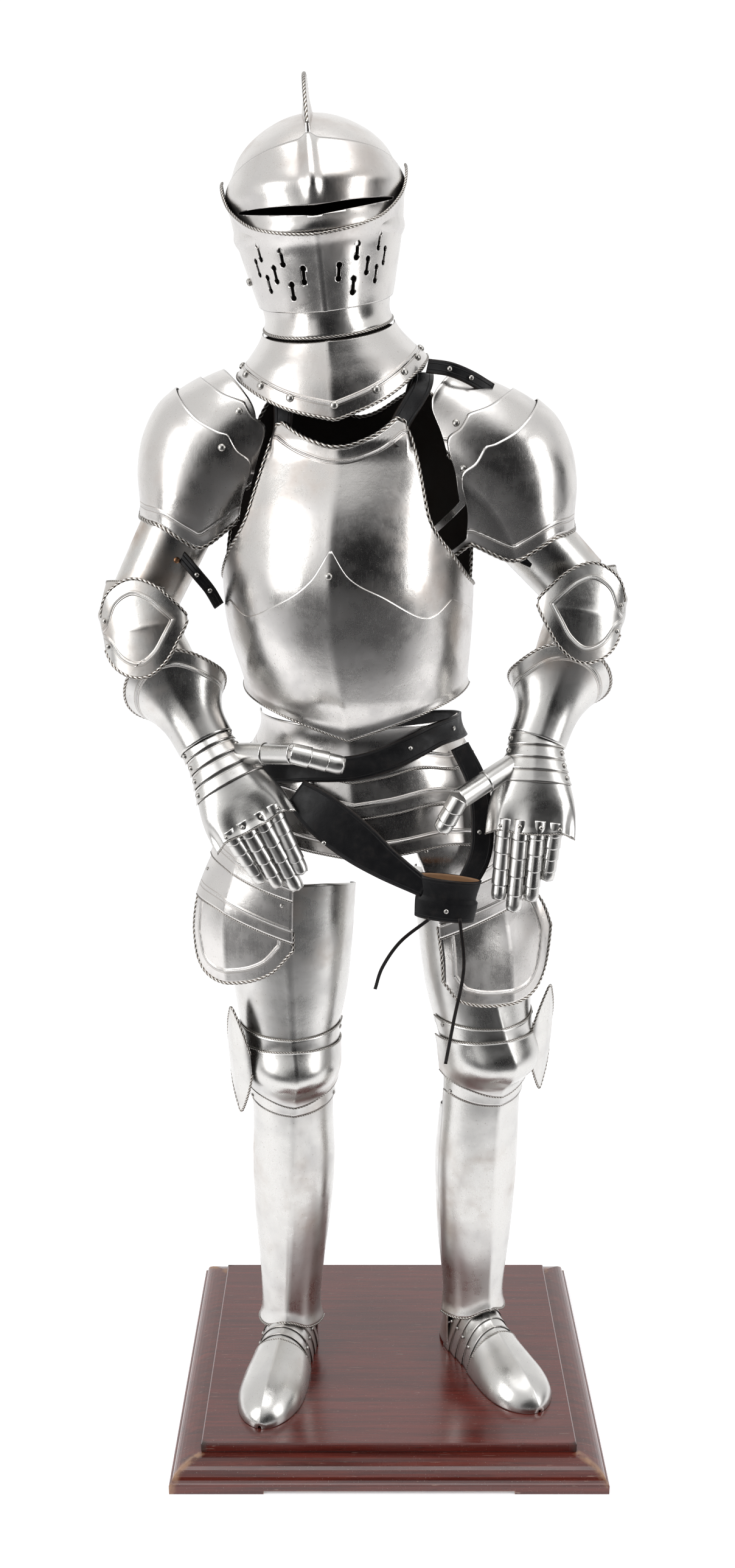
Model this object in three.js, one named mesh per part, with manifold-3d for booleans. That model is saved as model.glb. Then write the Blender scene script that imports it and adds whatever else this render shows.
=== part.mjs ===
// Suit of plate armour standing on a wooden plinth.
// Millimetres, +Z up, +X to the wearer's left, the suit faces -Y.
// The origin is the centre of the plinth's underside.
import * as THREE from 'three';
import Module from 'manifold-3d';

const wasm = await Module();
wasm.setup();
const { Manifold, CrossSection, Mesh: SolidMesh } = wasm;

// Sizes that drive the whole object, in mm.
const WALL = 1.5;
const LAYER = 2.4;
const SEAM = 0.3;
const BOARD_LENGTH = 530;
const BOARD_DEPTH = 463;
const BOARD_TOP = 50.4;
const BOARD_THICK = 14;
const MOULDING_OVERHANG = 41.7;
const APRON_RISE = 5;
const APRON_DEPTH = 15;
const APRON_LENGTH = 350;
const COMB_THICK = 4;
const SLOT_WIDTH = 7;
const SLOT_HEIGHT = 22;
const LEATHER = 3;
const RAD = Math.PI / 180;

const STEEL = 0xb9bcc0;
const DARK_LEATHER = 0x1c1a1a;
const WOOD = 0x6a2e1c;

const suit = new THREE.Group();
suit.name = 'suit_of_plate_armour';

// Turns rows of numbers with named columns into a list of records.
function table(columns, rows) {
  return rows.map((row) => Object.fromEntries(columns.map((name, i) => [name, row[i]])));
}

// Smooth value of one named column at a height, rows sorted by height.
function columnAt(rows, key, height) {
  const last = rows.length - 1;
  if (height <= rows[0].height) {
    return rows[0][key];
  }
  if (height >= rows[last].height) {
    return rows[last][key];
  }
  let i = 0;
  while (rows[i + 1].height < height) {
    i += 1;
  }
  const a = rows[i];
  const b = rows[i + 1];
  const before = rows[Math.max(i - 1, 0)];
  const after = rows[Math.min(i + 2, last)];
  const span = b.height - a.height;
  const t = (height - a.height) / span;
  const slopeA = (b[key] - before[key]) / (b.height - before.height) * span;
  const slopeB = (after[key] - a[key]) / (after.height - a.height) * span;
  const t2 = t * t;
  const t3 = t2 * t;
  return (2 * t3 - 3 * t2 + 1) * a[key] + (t3 - 2 * t2 + t) * slopeA
    + (3 * t2 - 2 * t3) * b[key] + (t3 - t2) * slopeB;
}

// Straight-line value from pairs of position and value.
function along(pairs, position) {
  if (typeof pairs === 'number') {
    return pairs;
  }
  if (position <= pairs[0][0]) {
    return pairs[0][1];
  }
  for (let i = 1; i < pairs.length; i += 1) {
    if (position <= pairs[i][0]) {
      const [x0, y0] = pairs[i - 1];
      const [x1, y1] = pairs[i];
      return y0 + (y1 - y0) * (position - x0) / (x1 - x0);
    }
  }
  return pairs[pairs.length - 1][1];
}

// A frame from an origin, its upward axis and a hint of where its front looks.
function frameFrom(origin, up, front) {
  const z = new THREE.Vector3(...up).normalize();
  const y = new THREE.Vector3(...front).negate();
  y.addScaledVector(z, -y.dot(z)).normalize();
  const x = new THREE.Vector3().crossVectors(y, z);
  const m = new THREE.Matrix4().makeBasis(x, y, z);
  m.setPosition(...origin);
  return m;
}

// A frame that runs from a lower point up to a higher one.
function frameAlong(low, high, front) {
  const up = high.map((v, i) => v - low[i]);
  return frameFrom(low, up, front);
}

const WORLD = new THREE.Matrix4();

const SECTION = ['height', 'cx', 'cy', 'half', 'front', 'back', 'yaw'];
const RING = ['height', 'half', 'front', 'back'];

// A tube-like surface: elliptical sections stacked along the frame's upward axis.
function surface(frame, rows) {
  const filled = rows.map((row) => ({ cx: 0, cy: 0, yaw: 0, ...row }));
  const base = (angle, height) => {
    const half = columnAt(filled, 'half', height);
    const front = columnAt(filled, 'front', height);
    const back = columnAt(filled, 'back', height);
    const yaw = columnAt(filled, 'yaw', height) * RAD;
    const s = Math.sin(angle * RAD);
    const c = Math.cos(angle * RAD);
    const x = half * s;
    const y = -(c > 0 ? front : back) * c;
    return new THREE.Vector3(
      columnAt(filled, 'cx', height) + x * Math.cos(yaw) - y * Math.sin(yaw),
      columnAt(filled, 'cy', height) + x * Math.sin(yaw) + y * Math.cos(yaw),
      height,
    );
  };
  const normal = (angle, height) => {
    const across = base(angle + 0.5, height).sub(base(angle - 0.5, height));
    const upward = base(angle, height + 1).sub(base(angle, height - 1));
    return across.cross(upward).normalize();
  };
  const lifted = (angle, height, lift) => base(angle, height)
    .addScaledVector(normal(angle, height), lift)
    .applyMatrix4(frame);
  return { lifted, frame };
}

const FLAT = [[0, 0], [1, 0]];

// A closed sheet of metal cut from a surface between two angles and two edges.
function plate(skin, options) {
  const {
    from, to, step = 18, rows, top, bottom, lift = 0, wall = WALL, flare = 0, closed = false,
  } = options;
  const levels = typeof rows === 'number'
    ? Array.from({ length: rows + 1 }, (_, j) => j / rows)
    : rows;
  const angles = [from];
  for (let a = Math.ceil((from + 2) / step) * step; a < to - 2; a += step) {
    angles.push(a);
  }
  angles.push(to);
  const columns = angles.length - 1;
  const last = levels.length - 1;
  const count = closed ? columns : columns + 1;
  const positions = [];
  const faces = [];
  const index = (side, i, j) => side * count * (last + 1) + j * count + (closed ? i % count : i);
  for (let side = 0; side < 2; side += 1) {
    for (let j = 0; j <= last; j += 1) {
      for (let i = 0; i < count; i += 1) {
        const angle = angles[i];
        const v = levels[j];
        const high = along(top, angle);
        const low = along(bottom, angle);
        const height = low + (high - low) * v;
        const out = lift + along(flare, v) - side * wall;
        const p = skin.lifted(angle, height, out);
        positions.push(p.x, p.y, p.z);
      }
    }
  }
  const quad = (a, b, c, d) => faces.push(a, b, c, a, c, d);
  for (let j = 0; j < last; j += 1) {
    for (let i = 0; i < columns; i += 1) {
      quad(index(0, i, j), index(0, i + 1, j), index(0, i + 1, j + 1), index(0, i, j + 1));
      quad(index(1, i, j), index(1, i, j + 1), index(1, i + 1, j + 1), index(1, i + 1, j));
    }
  }
  for (let i = 0; i < columns; i += 1) {
    quad(index(0, i, 0), index(1, i, 0), index(1, i + 1, 0), index(0, i + 1, 0));
    quad(index(0, i, last), index(0, i + 1, last), index(1, i + 1, last), index(1, i, last));
  }
  if (!closed) {
    for (let j = 0; j < last; j += 1) {
      quad(index(0, 0, j), index(0, 0, j + 1), index(1, 0, j + 1), index(1, 0, j));
      quad(index(0, columns, j), index(1, columns, j), index(1, columns, j + 1),
        index(0, columns, j + 1));
    }
  }
  const geometry = new THREE.BufferGeometry();
  geometry.setAttribute('position', new THREE.Float32BufferAttribute(positions, 3));
  geometry.setIndex(faces);
  return geometry;
}

// A flat strap laid along points, its width held close to a given direction.
function strap(points, across, width, thick, closed = false) {
  const path = points.map((p) => new THREE.Vector3(...p));
  const count = path.length;
  const positions = [];
  const faces = [];
  path.forEach((p, i) => {
    const next = path[closed ? (i + 1) % count : Math.min(i + 1, count - 1)];
    const past = path[closed ? (i + count - 1) % count : Math.max(i - 1, 0)];
    const run = next.clone().sub(past).normalize();
    const hint = typeof across[0] === 'number' ? across : across[i];
    const side = new THREE.Vector3(...hint);
    side.addScaledVector(run, -side.dot(run)).normalize();
    const out = new THREE.Vector3().crossVectors(side, run).normalize();
    const wide = (typeof width === 'number' ? width : width[i]) / 2;
    const corners = [[-wide, 0], [-wide, thick], [wide, thick], [wide, 0]];
    corners.forEach(([w, t]) => {
      const q = p.clone().addScaledVector(side, w).addScaledVector(out, t);
      positions.push(q.x, q.y, q.z);
    });
  });
  const segments = closed ? count : count - 1;
  for (let i = 0; i < segments; i += 1) {
    const a = i * 4;
    const b = ((i + 1) % count) * 4;
    for (let k = 0; k < 4; k += 1) {
      const m = (k + 1) % 4;
      faces.push(a + k, a + m, b + m, a + k, b + m, b + k);
    }
  }
  if (!closed) {
    const e = (count - 1) * 4;
    faces.push(0, 3, 2, 0, 2, 1);
    faces.push(e, e + 1, e + 2, e, e + 2, e + 3);
  }
  const geometry = new THREE.BufferGeometry();
  geometry.setAttribute('position', new THREE.Float32BufferAttribute(positions, 3));
  geometry.setIndex(faces);
  return geometry;
}

function toSolid(geometry) {
  const source = geometry.getAttribute('position').array;
  const solid = new SolidMesh({
    numProp: 3,
    vertProperties: new Float32Array(source),
    triVerts: new Uint32Array(geometry.getIndex().array),
  });
  return new Manifold(solid);
}

function fromSolid(solid) {
  const mesh = solid.getMesh();
  const geometry = new THREE.BufferGeometry();
  geometry.setAttribute('position', new THREE.Float32BufferAttribute(mesh.vertProperties, 3));
  geometry.setIndex(Array.from(mesh.triVerts));
  return geometry;
}

function joined(geometries) {
  return fromSolid(Manifold.union(geometries.map(toSolid)));
}

// A short round bar between two points.
function shank(start, end, radius) {
  const frame = frameAlong(start.toArray(), end.toArray(), [0.3, 1, 0.2]);
  const bar = Manifold.cylinder(start.distanceTo(end), radius, radius, 6);
  return fromSolid(bar).applyMatrix4(frame);
}

function add(name, geometry, colour) {
  const material = new THREE.MeshStandardMaterial({ color: colour, name: `${name}_finish` });
  const mesh = new THREE.Mesh(geometry, material);
  mesh.name = name;
  suit.add(mesh);
  return mesh;
}

// Plinth: a board let into an ovolo moulding with four corner feet.
const MOULDING = table(['height', 'inset'], [
  [0, 0], [14, 0], [16, 3.5], [23, 6], [29, 13], [33.5, 24], [36, 38],
]);

function mouldingSolid() {
  const corners = [];
  const faces = [];
  MOULDING.forEach(({ height, inset }) => {
    const hx = BOARD_LENGTH / 2 + MOULDING_OVERHANG - inset;
    const hy = BOARD_DEPTH / 2 + MOULDING_OVERHANG - inset;
    corners.push(-hx, -hy, height, hx, -hy, height, hx, hy, height, -hx, hy, height);
  });
  for (let j = 0; j < MOULDING.length - 1; j += 1) {
    for (let k = 0; k < 4; k += 1) {
      const a = j * 4 + k;
      const b = j * 4 + (k + 1) % 4;
      faces.push(a, b, b + 4, a, b + 4, a + 4);
    }
  }
  const t = (MOULDING.length - 1) * 4;
  faces.push(0, 3, 2, 0, 2, 1, t, t + 1, t + 2, t, t + 2, t + 3);
  const geometry = new THREE.BufferGeometry();
  geometry.setAttribute('position', new THREE.Float32BufferAttribute(corners, 3));
  geometry.setIndex(faces);
  let solid = toSolid(geometry);
  const hx = BOARD_LENGTH / 2 + MOULDING_OVERHANG;
  const hy = BOARD_DEPTH / 2 + MOULDING_OVERHANG;
  const long = Manifold.cube([APRON_LENGTH, APRON_DEPTH * 2, APRON_RISE * 2], true);
  const short = Manifold.cube([APRON_DEPTH * 2, APRON_LENGTH * 0.8, APRON_RISE * 2], true);
  [[0, -hy, long], [0, hy, long], [-hx, 0, short], [hx, 0, short]].forEach(([x, y, cutter]) => {
    solid = solid.subtract(cutter.translate([x, y, 0]));
  });
  return fromSolid(solid);
}

add('plinth_moulding', mouldingSolid(), WOOD);
const board = new THREE.BoxGeometry(BOARD_LENGTH, BOARD_DEPTH, BOARD_THICK);
board.translate(0, 0, BOARD_TOP - BOARD_THICK / 2);
add('plinth_board', board, WOOD);

// Legs: one stacked surface for each, from the ankle to the hip.
const LEG_RIGHT = surface(WORLD, table(SECTION, [
  [51, -147, 12, 46, 48, 72, -5],
  [95, -147, 12, 47, 53, 49, -5],
  [130, -147, 10, 45, 49, 46, -5],
  [200, -145, 6, 49, 49, 54, -4],
  [300, -142, 2, 58, 54, 70, -2],
  [380, -140, 0, 61, 57, 72, 0],
  [450, -140, -2, 59, 58, 62, 3],
  [500, -141, -2, 61, 62, 56, 6],
  [545, -143, -3, 66, 84, 54, 8],
  [590, -143, -2, 72, 76, 60, 6],
  [650, -141, 0, 82, 78, 72, 3],
  [720, -140, 2, 88, 82, 80, 0],
  [800, -139, 4, 92, 86, 86, 0],
  [850, -138, 5, 93, 88, 88, 0],
]));
const LEG_LEFT = surface(WORLD, table(SECTION, [
  [51, 128, 8, 46, 48, 72, 27],
  [110, 128, 8, 48, 53, 48, 27],
  [165, 129, 6, 48, 50, 48, 27],
  [250, 130, 2, 56, 54, 62, 26],
  [374, 132, 0, 62, 57, 72, 25],
  [460, 134, -2, 60, 58, 62, 25],
  [515, 136, -2, 61, 62, 57, 25],
  [560, 138, -3, 66, 84, 54, 25],
  [605, 135, -2, 71, 76, 60, 20],
  [660, 130, 0, 78, 70, 72, 14],
  [760, 121, 3, 81, 72, 80, 8],
  [850, 115, 5, 80, 72, 82, 5],
]));

// Heights of the leg plates: knee is the middle of the domed cop.
const LEG_SIDES = table(['side', 'knee', 'ankle', 'outer'], [
  ['right', 545, 100, -1],
  ['left', 560, 122, 1],
]);

LEG_SIDES.forEach(({ side, knee, ankle, outer }) => {
  const leg = side === 'right' ? LEG_RIGHT : LEG_LEFT;
  add(`greave_front_${side}`, plate(leg, {
    from: -92,
    to: 92,
    rows: [0, 0.22, 0.45, 0.7, 0.85, 0.93, 1],
    bottom: [[-92, ankle], [-40, ankle + 6], [0, ankle + 20], [40, ankle + 6], [92, ankle]],
    top: [[-92, knee - 62], [0, knee - 45], [92, knee - 62]],
  }), STEEL);
  add(`greave_rear_${side}`, plate(leg, {
    from: 86,
    to: 274,
    rows: 5,
    bottom: ankle - 6,
    top: [[86, knee - 90], [180, knee - 110], [274, knee - 90]],
    lift: -LAYER - 1,
  }), STEEL);
  add(`poleyn_lower_lame_${side}`, plate(leg, {
    from: -86,
    to: 86,
    rows: 3,
    bottom: [[-86, knee - 66], [0, knee - 76], [86, knee - 66]],
    top: [[-86, knee - 22], [0, knee - 38], [86, knee - 22]],
    lift: LAYER,
  }), STEEL);
  const cop = plate(leg, {
    from: -92,
    to: 92,
    rows: 5,
    bottom: [[-92, knee - 26], [-46, knee - 38], [0, knee - 54], [46, knee - 38], [92, knee - 26]],
    top: [[-92, knee + 26], [0, knee + 34], [92, knee + 26]],
    lift: 2 * LAYER,
  });
  const wing = plate(leg, {
    from: outer > 0 ? 62 : -128,
    to: outer > 0 ? 128 : -62,
    rows: 4,
    bottom: outer > 0
      ? [[62, knee - 20], [84, knee - 42], [106, knee - 50], [128, knee - 6]]
      : [[-128, knee - 6], [-106, knee - 50], [-84, knee - 42], [-62, knee - 20]],
    top: outer > 0
      ? [[62, knee + 20], [84, knee + 48], [106, knee + 60], [128, knee + 6]]
      : [[-128, knee + 6], [-106, knee + 60], [-84, knee + 48], [-62, knee + 20]],
    lift: 2 * LAYER + 1.2,
    wall: WALL,
    flare: [[0, 12], [0.4, 0], [0.6, 0], [1, 14]],
  });
  add(`poleyn_cop_${side}`, joined([cop, wing]), STEEL);
  add(`poleyn_upper_lame_${side}`, plate(leg, {
    from: -86,
    to: 86,
    rows: 3,
    bottom: [[-86, knee + 20], [0, knee + 22], [86, knee + 20]],
    top: [[-86, knee + 56], [0, knee + 52], [86, knee + 56]],
    lift: LAYER,
  }), STEEL);
  add(`cuisse_${side}`, plate(leg, {
    from: -112,
    to: 112,
    rows: [0, 0.06, 0.2, 0.45, 0.75, 1],
    bottom: knee + 40,
    top: [[-112, knee + 265], [-40, knee + 285], [0, knee + 285], [40, knee + 280], [112, knee + 250]],
  }), STEEL);
});

// Feet: arched sections along the sole, from the heel to the toe.
const FOOT_COLUMNS = ['height', 'half', 'front', 'back'];
const FOOT_RIGHT = table(FOOT_COLUMNS, [
  [-70, 30, 60, 2],
  [-30, 41, 96, 2],
  [26, 43, 86, 2],
  [54, 43, 70, 2],
  [83, 46, 59, 2],
  [122, 50, 50, 2],
  [157, 52, 44, 2],
  [184, 48, 34, 2],
  [202, 34, 25, 2],
  [211, 14, 15, 2],
]);
const FOOT_LEFT = table(FOOT_COLUMNS, [
  [-70, 30, 60, 2],
  [-30, 41, 110, 2],
  [24, 43, 104, 2],
  [48, 43, 84, 2],
  [74, 46, 66, 2],
  [109, 50, 52, 2],
  [140, 52, 44, 2],
  [165, 48, 34, 2],
  [181, 34, 25, 2],
  [190, 14, 15, 2],
]);
const SOLE = BOARD_TOP + 0.4;
const FOOT_BACK = (side, middle, top) => [[-90, side], [-45, middle], [0, top], [45, middle], [90, side]];
const FEET = table(['side', 'rows', 'heel', 'toe', 'lap', 'tip', 'back'], [
  ['right', FOOT_RIGHT, [-147, 12, SOLE], [-184, -196, SOLE], 112, 211, FOOT_BACK(20, 46, 56)],
  ['left', FOOT_LEFT, [129, 8, SOLE], [218, -160, SOLE], 98, 190, FOOT_BACK(16, 36, 44)],
]);
const TOE_LAP = 11;
FEET.forEach(({ side, rows, heel, toe, lap, tip, back }) => {
  const foot = surface(frameAlong(heel, toe, [0, 0, 1]), rows);
  add(`sabaton_toe_${side}`, plate(foot, {
    from: -90,
    to: 90,
    step: 22.5,
    rows: [0, 0.3, 0.6, 0.85, 1],
    bottom: lap,
    top: tip,
  }), STEEL);
  add(`sabaton_lames_${side}`, plate(foot, {
    from: -90,
    to: 90,
    step: 22.5,
    rows: 3,
    bottom: back,
    top: lap + TOE_LAP,
    lift: -LAYER,
  }), STEEL);
});
LEG_SIDES.forEach(({ side }) => {
  add(`sabaton_heel_${side}`, plate(side === 'right' ? LEG_RIGHT : LEG_LEFT, {
    from: 88,
    to: 272,
    rows: 3,
    bottom: 55,
    top: [[88, 112], [180, 128], [272, 112]],
    lift: -2 * LAYER - 1.8,
  }), STEEL);
});

// Torso: one stacked surface from the fauld's hem to the neck.
const TORSO = surface(WORLD, table(SECTION, [
  [640, -33, 5, 264, 128, 140, 3],
  [780, -33, 5, 262, 132, 140, 2],
  [880, -31, 5, 224, 150, 140, -5],
  [940, -33, 4, 194, 144, 125, -6],
  [1000, -38, 3, 162, 130, 105, -7],
  [1045, -41, 2, 141, 118, 92, -7],
  [1100, -46, 0, 152, 140, 98, -7],
  [1180, -54, -2, 166, 162, 112, -7],
  [1260, -56, -2, 170, 172, 120, -7],
  [1330, -55, 0, 168, 160, 122, -7],
  [1400, -52, 2, 160, 132, 116, -7],
  [1440, -52, 4, 146, 114, 104, -7],
  [1480, -54, 6, 126, 98, 92, -7],
]));
add('breastplate', plate(TORSO, {
  from: -90,
  to: 90,
  step: 15,
  rows: 8,
  bottom: [[-90, 1106], [-45, 1084], [0, 1050], [45, 1086], [90, 1110]],
  top: [[-90, 1236], [-75, 1252], [-60, 1284], [-45, 1330], [-36, 1440], [-30, 1448], [-15, 1428],
    [0, 1419], [15, 1430], [30, 1454], [36, 1444], [45, 1330], [60, 1284], [75, 1252], [90, 1236]],
}), STEEL);
add('plackart', plate(TORSO, {
  from: -88,
  to: 88,
  step: 15,
  rows: 5,
  bottom: [[-88, 1098], [-45, 1078], [0, 1042], [45, 1080], [88, 1102]],
  top: [[-88, 1195], [-60, 1222], [-44, 1206], [-22, 1232], [0, 1300], [22, 1246],
    [44, 1208], [60, 1228], [88, 1200]],
  lift: LAYER + 3.2,
}), STEEL);
add('backplate', plate(TORSO, {
  from: 86,
  to: 274,
  step: 15,
  rows: 7,
  bottom: [[86, 1088], [180, 1050], [274, 1088]],
  top: [[86, 1235], [108, 1320], [124, 1430], [145, 1462], [180, 1448], [215, 1462],
    [236, 1430], [252, 1320], [274, 1235]],
  lift: -LAYER - 1,
}), STEEL);

// Fauld: three overlapping hoops below the waist, each tucked under the one above.
const FAULD = table(['name', 'low', 'high', 'layer'], [
  ['fauld_hoop_top', 990, 1058, -1],
  ['fauld_hoop_middle', 942, 1004, -2],
  ['fauld_hoop_bottom', 886, 956, -3],
]);
FAULD.forEach(({ name, low, high, layer }) => {
  add(name, plate(TORSO, {
    from: -86,
    to: 86,
    step: 15,
    rows: 3,
    bottom: [[-86, low + 16], [-40, low + 10], [0, low], [40, low + 10], [86, low + 16]],
    top: high,
    lift: layer * LAYER - 1,
  }), STEEL);
});

// Tassets: two lames and a shield-shaped plate over each thigh, on the fauld's surface.
const TASSETS = table(['side', 'from', 'to', 'main', 'upperEdge', 'lowerEdge'], [
  ['right', -80, -24,
    [[-80, 748], [-74, 706], [-60, 682], [-45, 684], [-32, 704], [-24, 740]],
    [[-80, 858], [-60, 850], [-45, 836], [-24, 812]],
    [[-80, 800], [-60, 792], [-45, 776], [-24, 750]]],
  ['left', 22, 76,
    [[22, 700], [28, 668], [45, 652], [60, 658], [70, 690], [76, 748]],
    [[22, 812], [45, 836], [60, 850], [76, 858]],
    [[22, 756], [45, 782], [60, 796], [76, 800]]],
]);
TASSETS.forEach(({ side, from, to, main, upperEdge, lowerEdge }) => {
  const raised = (pairs, rise) => pairs.map(([a, h]) => [a, h + rise]);
  add(`tasset_lame_upper_${side}`, plate(TORSO, {
    from,
    to,
    step: 15,
    rows: 2,
    bottom: upperEdge,
    top: 914,
    lift: -4 * LAYER - 1.8,
  }), STEEL);
  add(`tasset_lame_lower_${side}`, plate(TORSO, {
    from,
    to,
    step: 15,
    rows: 2,
    bottom: lowerEdge,
    top: raised(upperEdge, 16),
    lift: -5 * LAYER - 2.2,
    flare: side === 'left' ? [[0, 5], [0.75, 0], [1, 0]] : FLAT,
  }), STEEL);
  add(`tasset_main_${side}`, plate(TORSO, {
    from,
    to,
    step: 15,
    rows: 4,
    bottom: main,
    top: raised(lowerEdge, 16),
    lift: -6 * LAYER - 2.6,
    flare: side === 'left' ? [[0, 24], [0.5, 14], [0.85, 3.4], [1, 1]] : FLAT,
  }), STEEL);
});

// Belt: a leather ring over the fauld, low on the right hip and high on the left.
const BELT_LINE = [[-180, 1012], [-90, 985], [-41, 992], [-21, 1000], [2, 1006], [17, 1016],
  [40, 1034], [57, 1043], [85, 1042], [120, 1034], [180, 1012]];
const BELT_WIDTH = 32;
const beltEdge = (shift) => BELT_LINE.map(([a, h]) => [a, h + shift]);
add('belt', plate(TORSO, {
  from: -180,
  to: 180,
  step: 15,
  rows: 1,
  closed: true,
  bottom: beltEdge(-BELT_WIDTH / 2),
  top: beltEdge(BELT_WIDTH / 2),
  lift: 0.9,
  wall: LEATHER,
}), DARK_LEATHER);

// Hanger: a broad strap across the front, a double loop and a strap from the left hip.
const HANGER = table(['x', 'y', 'z', 'wide'], [
  [-126, -120, 972, 40],
  [-92, -142, 948, 58],
  [-46, -155, 914, 58],
  [-6, -160, 884, 44],
  [46, -160, 850, 26],
]);
const HIP_STRAP = table(['x', 'y', 'z', 'wide'], [
  [94, -74.4, 1024, 26],
  [116, -92.4, 980, 28],
  [124, -110, 930, 30],
  [120, -126, 884, 30],
  [98, -143, 844, 26],
]);
const leather = (rows, across) => strap(
  rows.map(({ x, y, z }) => [x, y, z]),
  across,
  rows.map(({ wide }) => wide),
  LEATHER,
);
const LOOP_ROWS = table(RING, [
  [0, 40, 15, 13],
  [27, 42, 16, 14],
  [31, 39, 14, 12],
  [58, 43, 17, 15],
]);
const loopSkin = surface(frameFrom([72, -152, 806], [0.12, 0, 1], [0, -1, 0]), LOOP_ROWS);
add('sword_frog', joined([
  leather(HANGER, [0.55, 0, 0.83]),
  leather(HIP_STRAP, [1, 0, 0]),
  plate(loopSkin, {
    from: -180,
    to: 180,
    step: 30,
    rows: [0, 0.46, 0.54, 1],
    closed: true,
    bottom: 0,
    top: 58,
    wall: LEATHER,
  }),
]), DARK_LEATHER);

// Collar and helm share one frame, leaning a little to the wearer's right.
const HEAD_ROLL = 5.5 * RAD;
const HEAD = frameFrom([-80, 0, 1560], [-Math.sin(HEAD_ROLL), 0, Math.cos(HEAD_ROLL)], [0, -1, 0]);
const COLLAR = surface(HEAD, table(RING, [
  [-110, 138, 128, 118],
  [-62, 133, 120, 114],
  [-38, 124, 113, 108],
  [-20, 107, 108, 99],
  [0, 91, 103, 90],
  [25, 80, 100, 84],
]));
const HELM = surface(HEAD, table(RING, [
  [-15, 92, 105, 92],
  [20, 79, 107, 88],
  [60, 87, 116, 96],
  [100, 97, 126, 106],
  [140, 105, 131, 114],
  [185, 109, 125, 118],
  [225, 99, 105, 107],
  [250, 74, 74, 80],
  [264, 40, 40, 44],
  [269, 8, 8, 8],
]));

// The ring that the helm turns on lies in a plane that slopes down to the front.
const TURN_HEIGHT = 10;
const TURN_SLOPE = 0.18;
function turningEdge(skin, radiusFront, radiusBack, gap) {
  const pairs = [];
  for (let angle = -180; angle <= 180; angle += 15) {
    const c = Math.cos(angle * RAD);
    const y = -(c > 0 ? radiusFront : radiusBack) * c;
    pairs.push([angle, TURN_HEIGHT + TURN_SLOPE * y + gap]);
  }
  return pairs;
}
const collarTop = turningEdge(COLLAR, 103, 88, -0.3);
add('collar_front', plate(COLLAR, {
  step: 15,
  from: -90,
  to: 90,
  rows: 4,
  bottom: [[-90, -38], [-60, -54], [0, -106], [60, -54], [90, -38]],
  top: collarTop,
}), STEEL);
add('collar_back', plate(COLLAR, {
  step: 15,
  from: 86,
  to: 274,
  rows: 4,
  bottom: [[86, -36], [180, -95], [274, -36]],
  top: [[86, 4], [180, 16], [274, 4]],
  lift: -LAYER - 1,
}), STEEL);

function combSolid() {
  const profile = table(['y', 'z'], [
    [-78, 250], [-50, 288], [-15, 309], [22, 317], [58, 308], [88, 280], [104, 245],
  ]);
  const under = [];
  for (let height = 222; height <= 264; height += 7) {
    under.push([0, height]);
  }
  for (let height = 264; height >= 222; height -= 7) {
    under.push([180, height]);
  }
  const inverse = HEAD.clone().invert();
  const low = under.map(([angle, height]) => {
    const p = HELM.lifted(angle, height, -0.8).applyMatrix4(inverse);
    return [p.y, p.z];
  });
  const outline = [...low, ...profile.map(({ y, z }) => [y, z]).reverse()];
  const section = new CrossSection([outline]);
  const geometry = fromSolid(section.extrude(COMB_THICK));
  geometry.translate(0, 0, -COMB_THICK / 2);
  const turn = new THREE.Matrix4().makeBasis(
    new THREE.Vector3(0, 1, 0),
    new THREE.Vector3(0, 0, 1),
    new THREE.Vector3(1, 0, 0),
  );
  return geometry.applyMatrix4(turn).applyMatrix4(HEAD);
}

// Merges equal corners so that a face list without an index becomes closed.
function weld(geometry) {
  const source = geometry.getAttribute('position');
  const keys = new Map();
  const positions = [];
  const faces = [];
  const order = geometry.getIndex();
  const total = order ? order.count : source.count;
  for (let i = 0; i < total; i += 1) {
    const v = order ? order.getX(i) : i;
    const p = [source.getX(v), source.getY(v), source.getZ(v)];
    const key = p.map((n) => Math.round(n * 1000)).join(' ');
    if (!keys.has(key)) {
      keys.set(key, positions.length / 3);
      positions.push(...p);
    }
    faces.push(keys.get(key));
  }
  const result = new THREE.BufferGeometry();
  result.setAttribute('position', new THREE.Float32BufferAttribute(positions, 3));
  result.setIndex(faces);
  return result;
}

const skull = plate(HELM, {
  step: 15,
  from: -180,
  to: 180,
  rows: 6,
  closed: true,
  bottom: [[-180, 40], [-105, 52], [-90, 150], [-60, 205], [60, 205], [90, 150], [105, 52], [180, 40]],
  top: 269,
});
const crown = plate(HELM, {
  step: 45,
  from: -180,
  to: 180,
  rows: 1,
  closed: true,
  bottom: 268,
  top: 269,
  lift: 0.3,
  wall: 2.2,
});
const crownHull = fromSolid(Manifold.hull([toSolid(crown)]));
add('helm_skull', joined([skull, crownHull, combSolid()]), STEEL);

const visorPlate = plate(HELM, {
  step: 15,
  from: -88,
  to: 88,
  rows: 6,
  bottom: [[-88, 112], [-50, 104], [0, 92], [50, 104], [88, 112]],
  top: [[-88, 205], [-50, 228], [0, 226], [50, 228], [88, 205]],
  lift: LAYER + 0.6,
});
const eyeSlot = plate(HELM, {
  step: 15,
  from: -62,
  to: 62,
  rows: 1,
  bottom: [[-62, 147], [0, 134], [62, 147]],
  top: [[-62, 157], [0, 146], [62, 157]],
  lift: 12,
  wall: 20,
});
add('visor', fromSolid(toSolid(visorPlate).subtract(toSolid(eyeSlot))), STEEL);

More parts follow.
